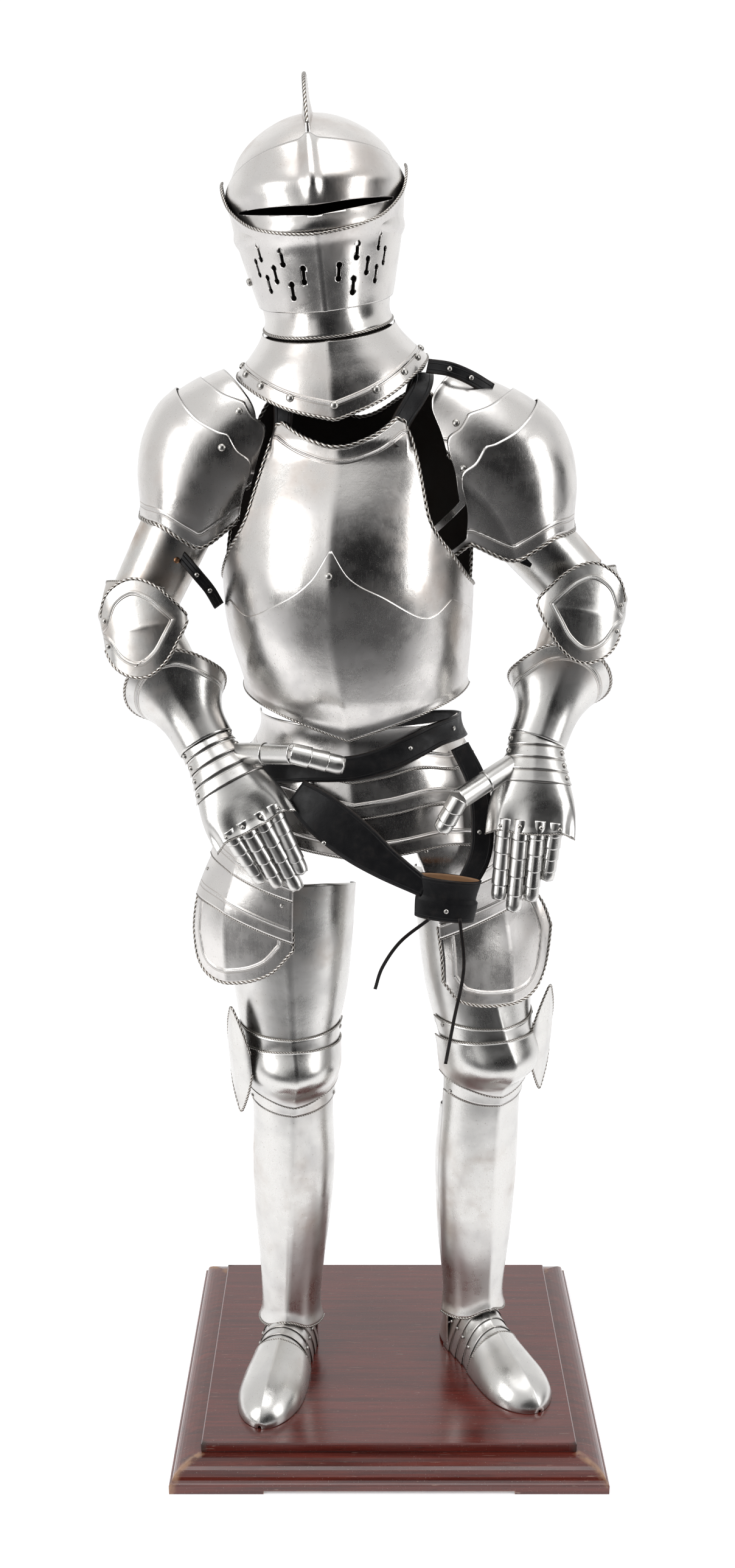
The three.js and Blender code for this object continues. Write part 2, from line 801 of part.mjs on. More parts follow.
// Breathing slots: angle round the face and height in the helm's frame.
const SLOTS = table(['angle', 'height'], [
  [-46, 97], [-27, 86], [-52, 78], [-35, 67], [-14, 62], [-45, 57], [-25, 44],
  [46, 97], [27, 86], [52, 78], [35, 67], [14, 62], [45, 57], [25, 44],
]);
let bevorSolid = toSolid(plate(HELM, {
  step: 15,
  from: -90,
  to: 90,
  rows: 5,
  bottom: [[-90, 44], [-50, 32], [0, 26], [50, 32], [90, 44]],
  top: [[-90, 165], [-66, 155], [-40, 128], [0, 116], [40, 128], [66, 155], [90, 165]],
  lift: 2 * LAYER + 0.6,
  flare: [[0, 0], [0.6, 0], [0.8, 3], [1, 12]],
}));
SLOTS.forEach(({ angle, height }) => {
  const inner = HELM.lifted(angle, height, -6);
  const outer = HELM.lifted(angle, height, 14);
  const frame = frameFrom([inner.x, inner.y, inner.z], outer.clone().sub(inner).toArray(), [0, 0, 1]);
  const cutter = new THREE.BoxGeometry(SLOT_WIDTH, SLOT_HEIGHT, 20);
  cutter.translate(0, 0, 10);
  cutter.applyMatrix4(frame);
  bevorSolid = bevorSolid.subtract(toSolid(weld(cutter)));
});
add('bevor', fromSolid(bevorSolid), STEEL);
add('helm_neck_lame', plate(HELM, {
  step: 15,
  from: -180,
  to: 180,
  rows: 2,
  closed: true,
  bottom: turningEdge(HELM, 103, 88, 0.3),
  top: [[-180, 60], [-90, 52], [0, 38], [90, 52], [180, 60]],
  lift: LAYER - 0.1,
}), STEEL);

// Shoulder straps: leather and steel bands from the breastplate to the backplate.
const SHOULDER_STRAPS = table(['side', 'front', 'over', 'back'], [
  ['right', -31, [[-138, -58, 1486], [-142, -6, 1500], [-136, 52, 1486]], 212],
  ['left', 31, [[38, -70, 1492], [42, -14, 1508], [36, 44, 1492]], 148],
]);
SHOULDER_STRAPS.forEach(({ side, front, over, back }) => {
  const onTorso = (angle, height, lift) => TORSO.lifted(angle, height, lift).toArray();
  const points = [
    onTorso(front, 1420, 0.3),
    onTorso(front, 1446, 0.5),
    ...over,
    onTorso(back, 1456, -1),
    onTorso(back, 1430, -1.4),
  ];
  const tangent = (angle) => {
    const sign = Math.sign(Math.cos(angle * RAD));
    return [sign * Math.cos(angle * RAD), sign * Math.sin(angle * RAD), 0];
  };
  const across = [
    tangent(front), tangent(front), tangent(front / 2), [1, 0, 0],
    tangent((back + 180) / 2), tangent(back), tangent(back),
  ];
  add(`shoulder_strap_${side}`, strap(points, across, 26, LEATHER), DARK_LEATHER);
});

// Pauldrons: three plates over each shoulder, the lowest outermost.
const SHOULDERS = table(['side', 'origin', 'out', 'reach'], [
  ['right', [-240, 8, 1396], -1, -34],
  ['left', [150, -14, 1382], 1, 8],
]);
const PAULDRON_ROWS = table(['height', 'cx', 'half', 'front', 'back'], [
  [-120, 60, 58, 62, 62],
  [-100, 48, 70, 72, 70],
  [-76, 32, 84, 80, 80],
  [-42, 12, 91, 88, 88],
  [0, 0, 95, 92, 92],
  [40, 0, 92, 92, 92],
  [80, 0, 82, 86, 84],
  [110, 0, 70, 76, 74],
  [135, 0, 60, 68, 66],
]);
const PAULDRON_PLATES = table(['name', 'from', 'to', 'rows', 'lift', 'bottom', 'top'], [
  ['main', -165, 50, 5, 2 * LAYER + 0.9,
    [[-165, -40], [-130, -80], [-90, -112], [-50, -108], [-20, -95], [10, -86], [26, -79],
      [40, -54], [50, -24]],
    [[-165, 25], [-90, 30], [-33, 31], [-5, 47], [24, 46], [38, 10], [50, -16]]],
  ['middle', -165, 38, 2, LAYER,
    [[-165, 5], [-90, 12], [-33, 14], [-5, 28], [24, 24], [38, 18]],
    [[-165, 60], [-90, 64], [-40, 76], [-18, 90], [13, 89], [28, 50], [38, 26]]],
  ['top', -150, 22, 3, -0.8,
    [[-150, 46], [-90, 48], [-18, 72], [13, 68], [22, 60]],
    [[-150, 116], [-90, 128], [-30, 134], [0, 124], [13, 92], [22, 70]]],
]);
SHOULDERS.forEach(({ side, origin, out, reach }) => {
  const rows = PAULDRON_ROWS.map((row) => ({ ...row, cx: -out * row.cx }));
  const skin = surface(frameFrom(origin, [-0.75 * out, 0, 0.66], [0, -1, 0]), rows);
  // Angles grow from the back over the shoulder to the armpit in front.
  const turned = (pairs) => (out < 0 ? pairs : pairs.map(([a, h]) => [-a, h]).reverse());
  PAULDRON_PLATES.forEach((row) => {
    add(`pauldron_${row.name}_${side}`, plate(skin, {
      from: out < 0 ? row.from : -row.to,
      to: out < 0 ? row.to : -row.from,
      step: 18,
      rows: row.rows,
      bottom: turned(row.bottom),
      top: turned(row.top.map(([a, h]) => [a, row.name === 'top' ? h + reach : h])),
      lift: row.lift,
    }), STEEL);
  });
});

// Arms: an upper tube, the elbow cop, a lower tube, then the gauntlet.
const ARMS = table(['side', 'shoulder', 'elbow', 'wrist', 'knuckle', 'wingAt', 'out'], [
  ['right', [-254, 6, 1372], [-344, -8, 1190], [-243, -84, 1022], [-183, -140, 934],
    [-322, -70, 1184], -1],
  ['left', [170, -14, 1318], [268, -10, 1216], [196, -80, 1026], [187, -126, 926],
    [247, -78, 1206], 1],
]);
const UPPER_ROWS = table(RING, [
  [-10, 45, 45, 46],
  [60, 47.2, 46.6, 47.2],
  [150, 49, 48.5, 49],
  [200, 49, 48.5, 49],
]);
const LOWER_ROWS = table(RING, [
  [-20, 37, 33, 32],
  [20, 37, 33, 32],
  [60, 39, 36, 36],
  [120, 43, 41, 42],
  [180, 45, 44, 45],
  [240, 44, 44, 46],
]);
const ELBOW_ROWS = table(RING, [
  [-46, 60, 50, 46],
  [-24, 61, 62, 52],
  [0, 60, 64, 58],
  [24, 58, 60, 54],
  [46, 56, 54, 50],
]);
const WING_ROWS = table(RING, [
  [-70, 62, 20, 10],
  [-30, 62, 26, 10],
  [0, 62, 29, 10],
  [30, 62, 26, 10],
  [70, 62, 20, 10],
]);
const HAND_ROWS = table(RING, [
  [-4, 50, 19, 8],
  [30, 50, 25, 12],
  [64, 42, 28, 18],
  [90, 36, 29, 24],
  [110, 36.3, 31.3, 30],
  [140, 36.3, 31.3, 30],
]);
const FINGER_ROWS = table(RING, [
  [0, 6.5, 6, 5],
  [8, 8.5, 8, 6],
  [40, 9.5, 9, 7],
  [100, 11, 10.5, 8],
]);
// Each finger starts under the hand plate at an offset across and a height up it.
const FINGERS = table(['side', 'name', 'across', 'up', 'depth', 'tip'], [
  ['right', 'index', 33, 4, 10, [-116, -158, 871]],
  ['right', 'middle', 12, 4, 10, [-122, -158, 849]],
  ['right', 'ring', -10, 4, 10, [-146, -154, 852]],
  ['right', 'little', -32, 4, 10, [-170, -146, 856]],
  ['left', 'index', -33, 4, 10, [144, -150, 832]],
  ['left', 'middle', -12, 4, 10, [164, -152, 816]],
  ['left', 'ring', 10, 4, 10, [187, -150, 830]],
  ['left', 'little', 32, 4, 10, [209, -140, 856]],
]);
const THUMBS = table(['side', 'across', 'up', 'depth', 'tip'], [
  ['right', 30, 92, 12, [-60, -176, 1024]],
  ['left', -30, 80, 12, [66, -160, 930]],
]);

// A point under a plate's outer face, at an offset across the frame.
function under(frame, rows, { across, up, depth }) {
  const half = columnAt(rows, 'half', up);
  const front = columnAt(rows, 'front', up);
  const y = -front * Math.sqrt(1 - (across / half) ** 2) + depth;
  return new THREE.Vector3(across, y, up).applyMatrix4(frame).toArray();
}

ARMS.forEach(({ side, shoulder, elbow, wrist, knuckle, wingAt, out }) => {
  const upper = surface(frameAlong(elbow, shoulder, [0, -1, 0]), UPPER_ROWS);
  const lower = surface(frameAlong(wrist, elbow, [0, -1, 0.3]), LOWER_ROWS);
  add(`rerebrace_${side}`, plate(upper, {
    from: out < 0 ? -200 : -80,
    to: out < 0 ? 80 : 200,
    rows: 3,
    bottom: 26,
    top: out < 0 ? 150 : 118,
  }), STEEL);
  add(`vambrace_${side}`, plate(lower, {
    from: -180,
    to: 180,
    rows: 3,
    closed: true,
    bottom: 34,
    top: 172,
  }), STEEL);
  const elbowLow = elbow.map((v, i) => v + (wrist[i] - elbow[i]) * 0.2);
  const elbowHigh = elbow.map((v, i) => v + (shoulder[i] - elbow[i]) * 0.2);
  const middle = elbowLow.map((v, i) => (v + elbowHigh[i]) / 2);
  const up = elbowHigh.map((v, i) => v - elbowLow[i]);
  const bend = surface(frameFrom(middle, up, [out * 0.9, -0.42, 0]), ELBOW_ROWS);
  const cop = plate(bend, {
    from: -92,
    to: 92,
    rows: 4,
    bottom: -44,
    top: 44,
    lift: LAYER,
  });
  const wingPairs = (pairs) => (out < 0 ? pairs : pairs.map(([a, h]) => [-a, h]).reverse());
  const wingFrame = frameFrom(wingAt, [out * 0.14, 0.2, 1], [out * 0.15, -1, 0]);
  const wingSkin = surface(wingFrame, WING_ROWS);
  const wing = plate(wingSkin, {
    from: -72,
    to: 72,
    rows: 4,
    bottom: wingPairs([[-72, -22], [-50, -46], [-22, -63], [0, -64], [25, -48], [48, -22], [72, 2]]),
    top: wingPairs([[-72, 22], [-50, 46], [-22, 62], [0, 64], [25, 50], [48, 28], [72, 8]]),
  });
  const rivets = [-15, 15].map((height) => {
    const outer = wingSkin.lifted(out * 60, height, 0.4);
    const inner = bend.lifted(-out * 52, height, LAYER - 0.7);
    return shank(outer, inner, 3);
  });
  add(`couter_${side}`, joined([cop, wing, ...rivets]), STEEL);
  const cuffPairs = (pairs) => (out < 0 ? pairs : pairs.map(([a, h]) => [-a, h]).reverse());
  add(`gauntlet_cuff_${side}`, plate(lower, {
    from: -132,
    to: 132,
    rows: 4,
    bottom: 8,
    top: cuffPairs([[-132, 84], [-90, 104], [-30, 132], [20, 128], [70, 92], [132, 72]]),
    lift: LAYER,
    flare: [[0, 0], [0.4, 0.1], [0.7, 6], [1, 17]],
  }), STEEL);
  const handFrame = frameAlong(knuckle, wrist, [-out * 0.1, -0.9, 0.3]);
  const hand = surface(handFrame, HAND_ROWS);
  const parts = [plate(hand, {
    from: -88,
    to: 88,
    rows: 4,
    bottom: 0,
    top: out < 0 ? 134 : 124,
    wall: 1.6,
  })];
  FINGERS.filter((finger) => finger.side === side).forEach((finger) => {
    const root = under(handFrame, HAND_ROWS, finger);
    const reach = new THREE.Vector3(...root).distanceTo(new THREE.Vector3(...finger.tip));
    const skin = surface(frameAlong(finger.tip, root, [0, -1, 0.2]), FINGER_ROWS);
    parts.push(plate(skin, {
      from: -96,
      to: 96,
      step: 48,
      rows: 2,
      bottom: 0,
      top: reach + 4,
      wall: 1.4,
    }));
  });
  THUMBS.filter((thumb) => thumb.side === side).forEach((thumb) => {
    const root = under(handFrame, HAND_ROWS, thumb);
    const reach = new THREE.Vector3(...root).distanceTo(new THREE.Vector3(...thumb.tip));
    const skin = surface(frameAlong(thumb.tip, root, [0, -1, 0.3]), FINGER_ROWS);
    parts.push(plate(skin, {
      from: -96,
      to: 96,
      step: 48,
      rows: 2,
      bottom: 0,
      top: reach,
      lift: 2,
      wall: 1.4,
    }));
  });
  add(`gauntlet_hand_${side}`, joined(parts), STEEL);
});

export default suit;
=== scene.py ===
import math

import bpy
import numpy as np
from mathutils import Matrix, Vector
from mathutils.bvhtree import BVHTree


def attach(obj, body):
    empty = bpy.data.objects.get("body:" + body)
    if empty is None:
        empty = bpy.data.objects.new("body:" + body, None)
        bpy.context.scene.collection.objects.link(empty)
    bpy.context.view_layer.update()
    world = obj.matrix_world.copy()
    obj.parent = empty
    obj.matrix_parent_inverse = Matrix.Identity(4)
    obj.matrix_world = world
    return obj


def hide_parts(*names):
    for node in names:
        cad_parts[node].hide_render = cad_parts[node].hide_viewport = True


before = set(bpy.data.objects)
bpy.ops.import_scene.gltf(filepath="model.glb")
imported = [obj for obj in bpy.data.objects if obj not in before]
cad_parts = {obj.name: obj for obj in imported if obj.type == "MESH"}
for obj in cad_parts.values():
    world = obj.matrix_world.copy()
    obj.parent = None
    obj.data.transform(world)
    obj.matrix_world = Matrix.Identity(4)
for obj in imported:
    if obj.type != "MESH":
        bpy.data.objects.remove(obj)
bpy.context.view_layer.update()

# Sizes shared with the solids, in mm.
MM = 0.001
WALL = 1.5
LAYER = 2.4
BOARD_TOP = 50.4
BOARD_LENGTH = 530
BOARD_DEPTH = 463
BOARD_THICK = 14
LEATHER = 3
GRID = 4.2

FAR_FROM_EDGE = 400.0
HELM_NODES = {"helm_skull", "visor", "helm_neck_lame"}


def body_for(node):
    """The moving body that a node belongs to."""
    if node == "bevor":
        return "bevor"
    return "helm" if node in HELM_NODES else "suit"


# Node trees.


class Value:
    """A socket that can be used in Python arithmetic."""

    def __init__(self, tree, socket):
        self.tree = tree
        self.socket = socket

    def math(self, operation, *others):
        node = self.tree.nodes.new("ShaderNodeMath")
        node.operation = operation
        for target, source in zip(node.inputs, (self, *others)):
            put(self.tree, target, source)
        return Value(self.tree, node.outputs[0])

    def __add__(self, other):
        return self.math("ADD", other)

    __radd__ = __add__

    def __sub__(self, other):
        return self.math("SUBTRACT", other)

    def __rsub__(self, other):
        return (self * -1.0) + other

    def __mul__(self, other):
        return self.math("MULTIPLY", other)

    __rmul__ = __mul__

    def __truediv__(self, other):
        return self.math("DIVIDE", other)

    def __abs__(self):
        return self.math("ABSOLUTE")

    def ramp(self, low, high, start=0.0, end=1.0):
        """Smooth rise from start to end while the value goes from low to high."""
        node = self.tree.nodes.new("ShaderNodeMapRange")
        node.interpolation_type = "SMOOTHSTEP"
        for name, value in zip(("Value", "From Min", "From Max", "To Min", "To Max"),
                               (self, low, high, start, end)):
            put(self.tree, node.inputs[name], value)
        return Value(self.tree, node.outputs[0])

    def line(self, centre, width):
        """One at a centre, falling smoothly to zero at half a width away."""
        return abs(self - centre).ramp(width / 2, 0.0)


def put(tree, target, source):
    """Links a socket or sets a constant."""
    if isinstance(source, Value):
        tree.links.new(source.socket, target)
    elif hasattr(source, "is_output"):
        tree.links.new(source, target)
    elif source is not None:
        target.default_value = source


class Tree:
    """Adds nodes by type, settings and socket values."""

    def __init__(self, tree):
        self.tree = tree

    def node(self, kind, settings=None, **sockets):
        made = self.tree.nodes.new(kind)
        for key, value in (settings or {}).items():
            setattr(made, key, value)
        for key, value in sockets.items():
            name = key.replace("_", " ")
            target = next(s for s in made.inputs if s.name == name and s.enabled)
            put(self.tree, target, value)
        return made

    def value(self, kind, output, settings=None, **sockets):
        made = self.node(kind, settings, **sockets)
        found = next(s for s in made.outputs if s.name == output and s.enabled)
        return Value(self.tree, found)

    def noise(self, coordinates, scale, detail=3.0, roughness=0.5, distortion=0.0):
        return self.value("ShaderNodeTexNoise", "Fac", Vector=coordinates, Scale=scale,
                          Detail=detail, Roughness=roughness, Distortion=distortion)

    def vector(self, operation, first, second, output="Vector"):
        made = self.tree.nodes.new("ShaderNodeVectorMath")
        made.operation = operation
        put(self.tree, made.inputs[0], first)
        put(self.tree, made.inputs[1], second)
        return Value(self.tree, made.outputs[output])

    def blend(self, factor, first, second, mode="MIX"):
        made = self.tree.nodes.new("ShaderNodeMix")
        made.data_type = "RGBA"
        made.blend_type = mode
        put(self.tree, made.inputs[0], factor)
        put(self.tree, made.inputs[6], first)
        put(self.tree, made.inputs[7], second)
        return Value(self.tree, made.outputs[2])

    def attribute(self, name):
        made = self.tree.nodes.new("ShaderNodeAttribute")
        made.attribute_name = name
        return Value(self.tree, made.outputs["Fac"])


# Colours of tarnish, wear, rust and dust, and of painted shade in the border grooves, along plate edges, in
# rope cuts and inside the plates.
TARNISH = (0.36, 0.23, 0.14, 1)
CLOUDED = (0.46, 0.45, 0.46, 1)
GROOVE_SHADE = (0.16, 0.12, 0.09, 1)
RIM_SHADE = (0.2, 0.16, 0.13, 1)
SPECKS = (0.16, 0.1, 0.06, 1)
ROPE_CUT_SHADE = (0.1, 0.08, 0.065, 1)
SCRATCHED_WOOD = (0.5, 0.36, 0.28, 1)
DUST = (0.6, 0.52, 0.46, 1)
INSIDE_SHADE = (0.012, 0.011, 0.01, 1)
INSIDE_RUST = (0.035, 0.024, 0.018, 1)
# The embossed border: distance from the edge and width in mm of its lines.
OUTER_GROOVE = (15.5, 3.0)
RIDGE = (18.5, 3.4)
INNER_GROOVE = (21.5, 2.4)
BORDER_END = (20.5, 22.5)


def new_material(name):
    material = bpy.data.materials.new(name)
    material.use_nodes = True
    tree = material.node_tree
    tree.nodes.clear()
    output = tree.nodes.new("ShaderNodeOutputMaterial")
    surface = tree.nodes.new("ShaderNodeBsdfPrincipled")
    tree.links.new(surface.outputs[0], output.inputs[0])
    build = Tree(tree)
    return material, build, surface, build.value("ShaderNodeTexCoord", "Object")


def paint(build, surface, **values):
    """Sets inputs of a surface by name."""
    for key, value in values.items():
        put(build.tree, surface.inputs[key.replace("_", " ")], value)


def bumped(build, surface, *layers):
    """Chains bump heights (value, distance in mm) into the surface normal."""
    previous = None
    for height, distance in layers:
        bump = build.tree.nodes.new("ShaderNodeBump")
        bump.inputs["Strength"].default_value = 1.0
        bump.inputs["Distance"].default_value = distance * MM
        put(build.tree, bump.inputs["Height"], height)
        if previous is not None:
            build.tree.links.new(previous.outputs[0], bump.inputs["Normal"])
        previous = bump
    build.tree.links.new(previous.outputs[0], surface.inputs["Normal"])


def steel_material(name, tint=(0.68, 0.66, 0.64), haze=0.0, warm=0.5, seed=0.0):
    """Polished steel with haze, faint scratches, warm tarnish, an embossed border, and painted shade in the
    border grooves and along bordered edges.
    """
    material, build, surface, place = new_material(name)
    shifted = build.vector("ADD", place, (seed, seed * 0.7, seed * 1.3))
    edge = build.attribute("edge")
    large = build.noise(shifted, 5.5, 4.0, 0.55)
    cloud = build.noise(shifted, 21.0, 5.0, 0.6)
    fine = build.noise(shifted, 160.0, 3.0, 0.6)
    streak = build.noise(build.vector("MULTIPLY", shifted, (900.0, 900.0, 26.0)), 1.0, 2.0)
    scuff = build.noise(build.vector("MULTIPLY", shifted, (60.0, 420.0, 420.0)), 1.0, 3.0)
    specks = build.noise(shifted, 420.0, 2.0, 0.7).ramp(0.66, 0.74)
    tarnish = large.ramp(0.5, 0.72) * cloud.ramp(0.35, 0.7) * warm
    groove = edge.line(*OUTER_GROOVE) + edge.line(*INNER_GROOVE)
    colour = build.blend(tarnish, (*tint, 1), TARNISH)
    colour = build.blend(cloud.ramp(0.45, 0.8) * 0.35, colour, CLOUDED)
    # Painted shade: the two recessed border grooves are darkened.
    colour = build.blend(groove * 0.4, colour, GROOVE_SHADE)
    # Painted shade: a thin dark band along bordered plate edges, where lames lap over each other.
    colour = build.blend(edge.ramp(3.2, 0.0) * 0.4, colour, RIM_SHADE)
    colour = build.blend(specks * 0.5, colour, SPECKS)
    paint(build, surface, Base_Color=colour, Metallic=1.0)
    rough = 0.22 + haze + cloud.ramp(0.3, 0.8) * 0.14 + streak.ramp(0.5, 0.8) * 0.05
    rough = rough + tarnish * 0.12 + groove * 0.12 + specks * 0.15
    paint(build, surface, Roughness=rough)
    raised_line = edge.line(*RIDGE) - edge.ramp(*BORDER_END, 0.0, 0.55)
    bumped(build, surface,
           (build.noise(shifted, 9.0, 1.5, 0.4), 2.4),
           (cloud, 0.4),
           (fine + streak * 0.6 + scuff * 0.5, 0.035),
           (raised_line, 1.3))
    return material


def inside_material():
    material, build, surface, place = new_material("steel_inside")
    rust = build.noise(place, 30.0, 4.0)
    # The inside is nearly black: painted shade for the hollow insides of the plates, mottled with real rust.
    paint(build, surface, Base_Color=build.blend(rust, INSIDE_SHADE, INSIDE_RUST),
          Metallic=0.3)
    paint(build, surface, Roughness=rust.ramp(0.2, 0.8, 0.6, 0.85))
    return material


def rope_material(name, tint=(0.6, 0.58, 0.55)):
    """Steel cord edge: bright crests, and painted shade darkening the cuts between them."""
    material, build, surface, place = new_material(name)
    crest = build.attribute("crest")
    cloud = build.noise(place, 40.0, 3.0)
    # Painted shade in the cuts between the rope's crests.
    colour = build.blend(crest.ramp(0.15, 0.75), ROPE_CUT_SHADE, (*tint, 1))
    paint(build, surface, Base_Color=colour, Metallic=1.0, Roughness=cloud.ramp(0.2, 0.8, 0.2, 0.42))
    return material


def plain_metal(name, colour, rough):
    material, build, surface, place = new_material(name)
    cloud = build.noise(place, 220.0, 3.0)
    dark = tuple(c * 0.55 for c in colour)
    paint(build, surface, Base_Color=build.blend(cloud.ramp(0.3, 0.7), (*colour, 1), (*dark, 1)),
          Metallic=1.0)
    paint(build, surface, Roughness=cloud.ramp(0.2, 0.8, rough, rough + 0.2))
    return material


def leather_material(name, colour, worn):
    material, build, surface, place = new_material(name)
    edge = build.attribute("edge")
    grain = build.noise(place, 900.0, 4.0, 0.65)
    crease = build.noise(place, 60.0, 5.0, 0.6)
    wear = crease.ramp(0.5, 0.75) * 0.25 + edge.ramp(2.2, 0.0) * 0.6
    paint(build, surface, Base_Color=build.blend(wear, (*colour, 1), (*worn, 1)),
          Roughness=crease.ramp(0.3, 0.7, 0.34, 0.55))
    paint(build, surface, Specular_IOR_Level=0.22)
    bumped(build, surface, (grain, 0.12), (crease, 0.6), (edge.line(5.0, 1.6) * -1.0, 0.6))
    return material


def wood_material(name, colour, dark, worn):
    """Varnished reddish board with grain along its length, scratches and dust."""
    material, build, surface, place = new_material(name)
    edge = build.attribute("edge")
    wavy = build.noise(place, 5.0, 2.0)
    long_grain = build.noise(build.vector("MULTIPLY", place, (5.0, 130.0, 130.0)), 1.0, 5.0, 0.62, 0.4)
    pores = build.noise(build.vector("MULTIPLY", place, (40.0, 900.0, 900.0)), 1.0, 2.0)
    scratches = build.noise(build.vector("MULTIPLY", place, (30.0, 700.0, 200.0)), 1.0, 3.0).ramp(0.68, 0.74)
    dust = build.noise(place, 500.0, 2.0, 0.7).ramp(0.68, 0.74)
    shade = long_grain.ramp(0.3, 0.7) * 0.8 + wavy * 0.2
    base = build.blend(shade, (*dark, 1), (*colour, 1))
    base = build.blend(pores.ramp(0.6, 0.75) * 0.6, base, (*tuple(c * 0.4 for c in dark), 1))
    rubbed = edge.ramp(5.0, 0.5) * build.noise(place, 45.0, 4.0).ramp(0.38, 0.6)
    base = build.blend(rubbed * 0.85, base, (*worn, 1))
    base = build.blend(scratches * 0.35, base, SCRATCHED_WOOD)
    base = build.blend(dust * 0.3, base, DUST)
    paint(build, surface, Base_Color=base,
          Roughness=build.noise(place, 14.0, 4.0).ramp(0.3, 0.7, 0.16, 0.28) + rubbed * 0.3)
    paint(build, surface, Coat_Weight=0.5 - rubbed * 0.4, Coat_Roughness=0.18)
    bumped(build, surface, (long_grain, 0.08), (pores, 0.05), (scratches * -1.0, 0.12))
    return material


STEEL = steel_material("plate_steel", seed=1.0)
HELM_STEEL = steel_material("helm_steel", tint=(0.68, 0.66, 0.64), warm=0.35, seed=4.0)
LIMB_STEEL = steel_material("limb_steel", tint=(0.64, 0.63, 0.61), haze=0.02, warm=0.7, seed=8.0)
INSIDE = inside_material()
ROPE = rope_material("roped_steel")
RIVET_STEEL = plain_metal("rivet_steel", (0.62, 0.6, 0.57), 0.22)
RIVET_COPPER = plain_metal("rivet_copper", (0.55, 0.3, 0.17), 0.3)
BLACK_LEATHER = leather_material("black_leather", (0.007, 0.007, 0.008), (0.04, 0.03, 0.025))
TAN_LEATHER = leather_material("tan_leather", (0.3, 0.17, 0.09), (0.12, 0.07, 0.04))
WOOD_TOP = wood_material("board_wood", (0.13, 0.019, 0.013), (0.05, 0.008, 0.006),
                         (0.03, 0.02, 0.016))
WOOD_EDGE = wood_material("moulding_wood", (0.13, 0.021, 0.013), (0.045, 0.008, 0.006),
                          (0.34, 0.2, 0.12))

# Plate geometry.


def table(columns, rows):
    return [dict(zip(columns, row)) for row in rows]


def new_mesh(name, points, faces=(), edges=()):
    data = bpy.data.meshes.new(name)
    data.from_pydata(points, edges, faces)
    return data


def add_object(name, data):
    obj = bpy.data.objects.new(name, data)
    bpy.context.scene.collection.objects.link(obj)
    return obj


def settle(obj):
    """Keeps the plain result of an object's modifiers."""
    graph = bpy.context.evaluated_depsgraph_get()
    graph.update()
    result = bpy.data.meshes.new_from_object(obj.evaluated_get(graph))
    obj.modifiers.clear()
    obj.data = result


def both(*half):
    """An edge that is the same on both sides, given from the outside to the middle."""
    return [(-pair[0], *pair[1:]) for pair in half if pair[0]] + list(half[::-1])


def mirrored(pairs, out):
    """An edge drawn for the wearer's right side, turned over for the left."""
    return pairs if out < 0 else [(-pair[0], *pair[1:]) for pair in pairs][::-1]


def raised(pairs, rise):
    return [(a, h + rise) for a, h in pairs]


def sheet_faces(rows, cols, closed=False):
    """An outer and an inner grid joined along their edges: faces, sides and flatness."""
    size = rows * cols
    wide = cols if closed else cols - 1
    faces = []

    def quad(*corners):
        faces.append(tuple(side * size + j * cols + i % cols for side, j, i in corners))

    for j in range(rows - 1):
        for i in range(wide):
            quad((0, j, i), (0, j, i + 1), (0, j + 1, i + 1), (0, j + 1, i))
            quad((1, j, i), (1, j + 1, i), (1, j + 1, i + 1), (1, j, i + 1))
    curved = len(faces)
    for i in range(wide):
        quad((0, 0, i), (1, 0, i), (1, 0, i + 1), (0, 0, i + 1))
        quad((0, rows - 1, i), (0, rows - 1, i + 1), (1, rows - 1, i + 1), (1, rows - 1, i))
    if not closed:
        for j in range(rows - 1):
            quad((0, j, 0), (0, j + 1, 0), (1, j + 1, 0), (1, j, 0))
            quad((0, j, cols - 1), (1, j, cols - 1), (1, j + 1, cols - 1), (0, j + 1, cols - 1))
    rest = len(faces) - curved
    return faces, [0, 1] * (curved // 2) + [0] * rest, [False] * curved + [True] * rest


def ring_faces(rings, count):
    """Quads between rings of points, and a face at each end."""
    faces = [(j * count + i, j * count + (i + 1) % count, (j + 1) * count + (i + 1) % count,
              (j + 1) * count + i) for j in range(rings - 1) for i in range(count)]
    return faces + [tuple(range(count))[::-1], tuple(range((rings - 1) * count, rings * count))]


def frame_from(origin, up, front):
    """A 4 by 4 frame from an origin, its upward axis and where its front looks."""
    z = Vector(up).normalized()
    y = -Vector(front)
    y = (y - z * y.dot(z)).normalized()
    x = y.cross(z)
    m = Matrix((x, y, z)).transposed().to_4x4()
    m.translation = Vector(origin)
    return np.array(m)


def frame_along(low, high, front):
    return frame_from(low, [b - a for a, b in zip(low, high)], front)


def smooth(knots, values, at):
    """Cubic through the knots, with central slopes and flat continuation outside."""
    knots = np.asarray(knots, float)
    values = np.asarray(values, float)
    slopes = np.empty_like(values)
    slopes[1:-1] = (values[2:] - values[:-2]) / (knots[2:] - knots[:-2])
    slopes[0] = (values[1] - values[0]) / (knots[1] - knots[0])
    slopes[-1] = (values[-1] - values[-2]) / (knots[-1] - knots[-2])
    at = np.clip(at, knots[0], knots[-1])
    i = np.clip(np.searchsorted(knots, at) - 1, 0, len(knots) - 2)
    span = knots[i + 1] - knots[i]
    t = (at - knots[i]) / span
    t2 = t * t
    t3 = t2 * t
    return ((2 * t3 - 3 * t2 + 1) * values[i] + (t3 - 2 * t2 + t) * slopes[i] * span
            + (3 * t2 - 2 * t3) * values[i + 1] + (t3 - t2) * slopes[i + 1] * span)


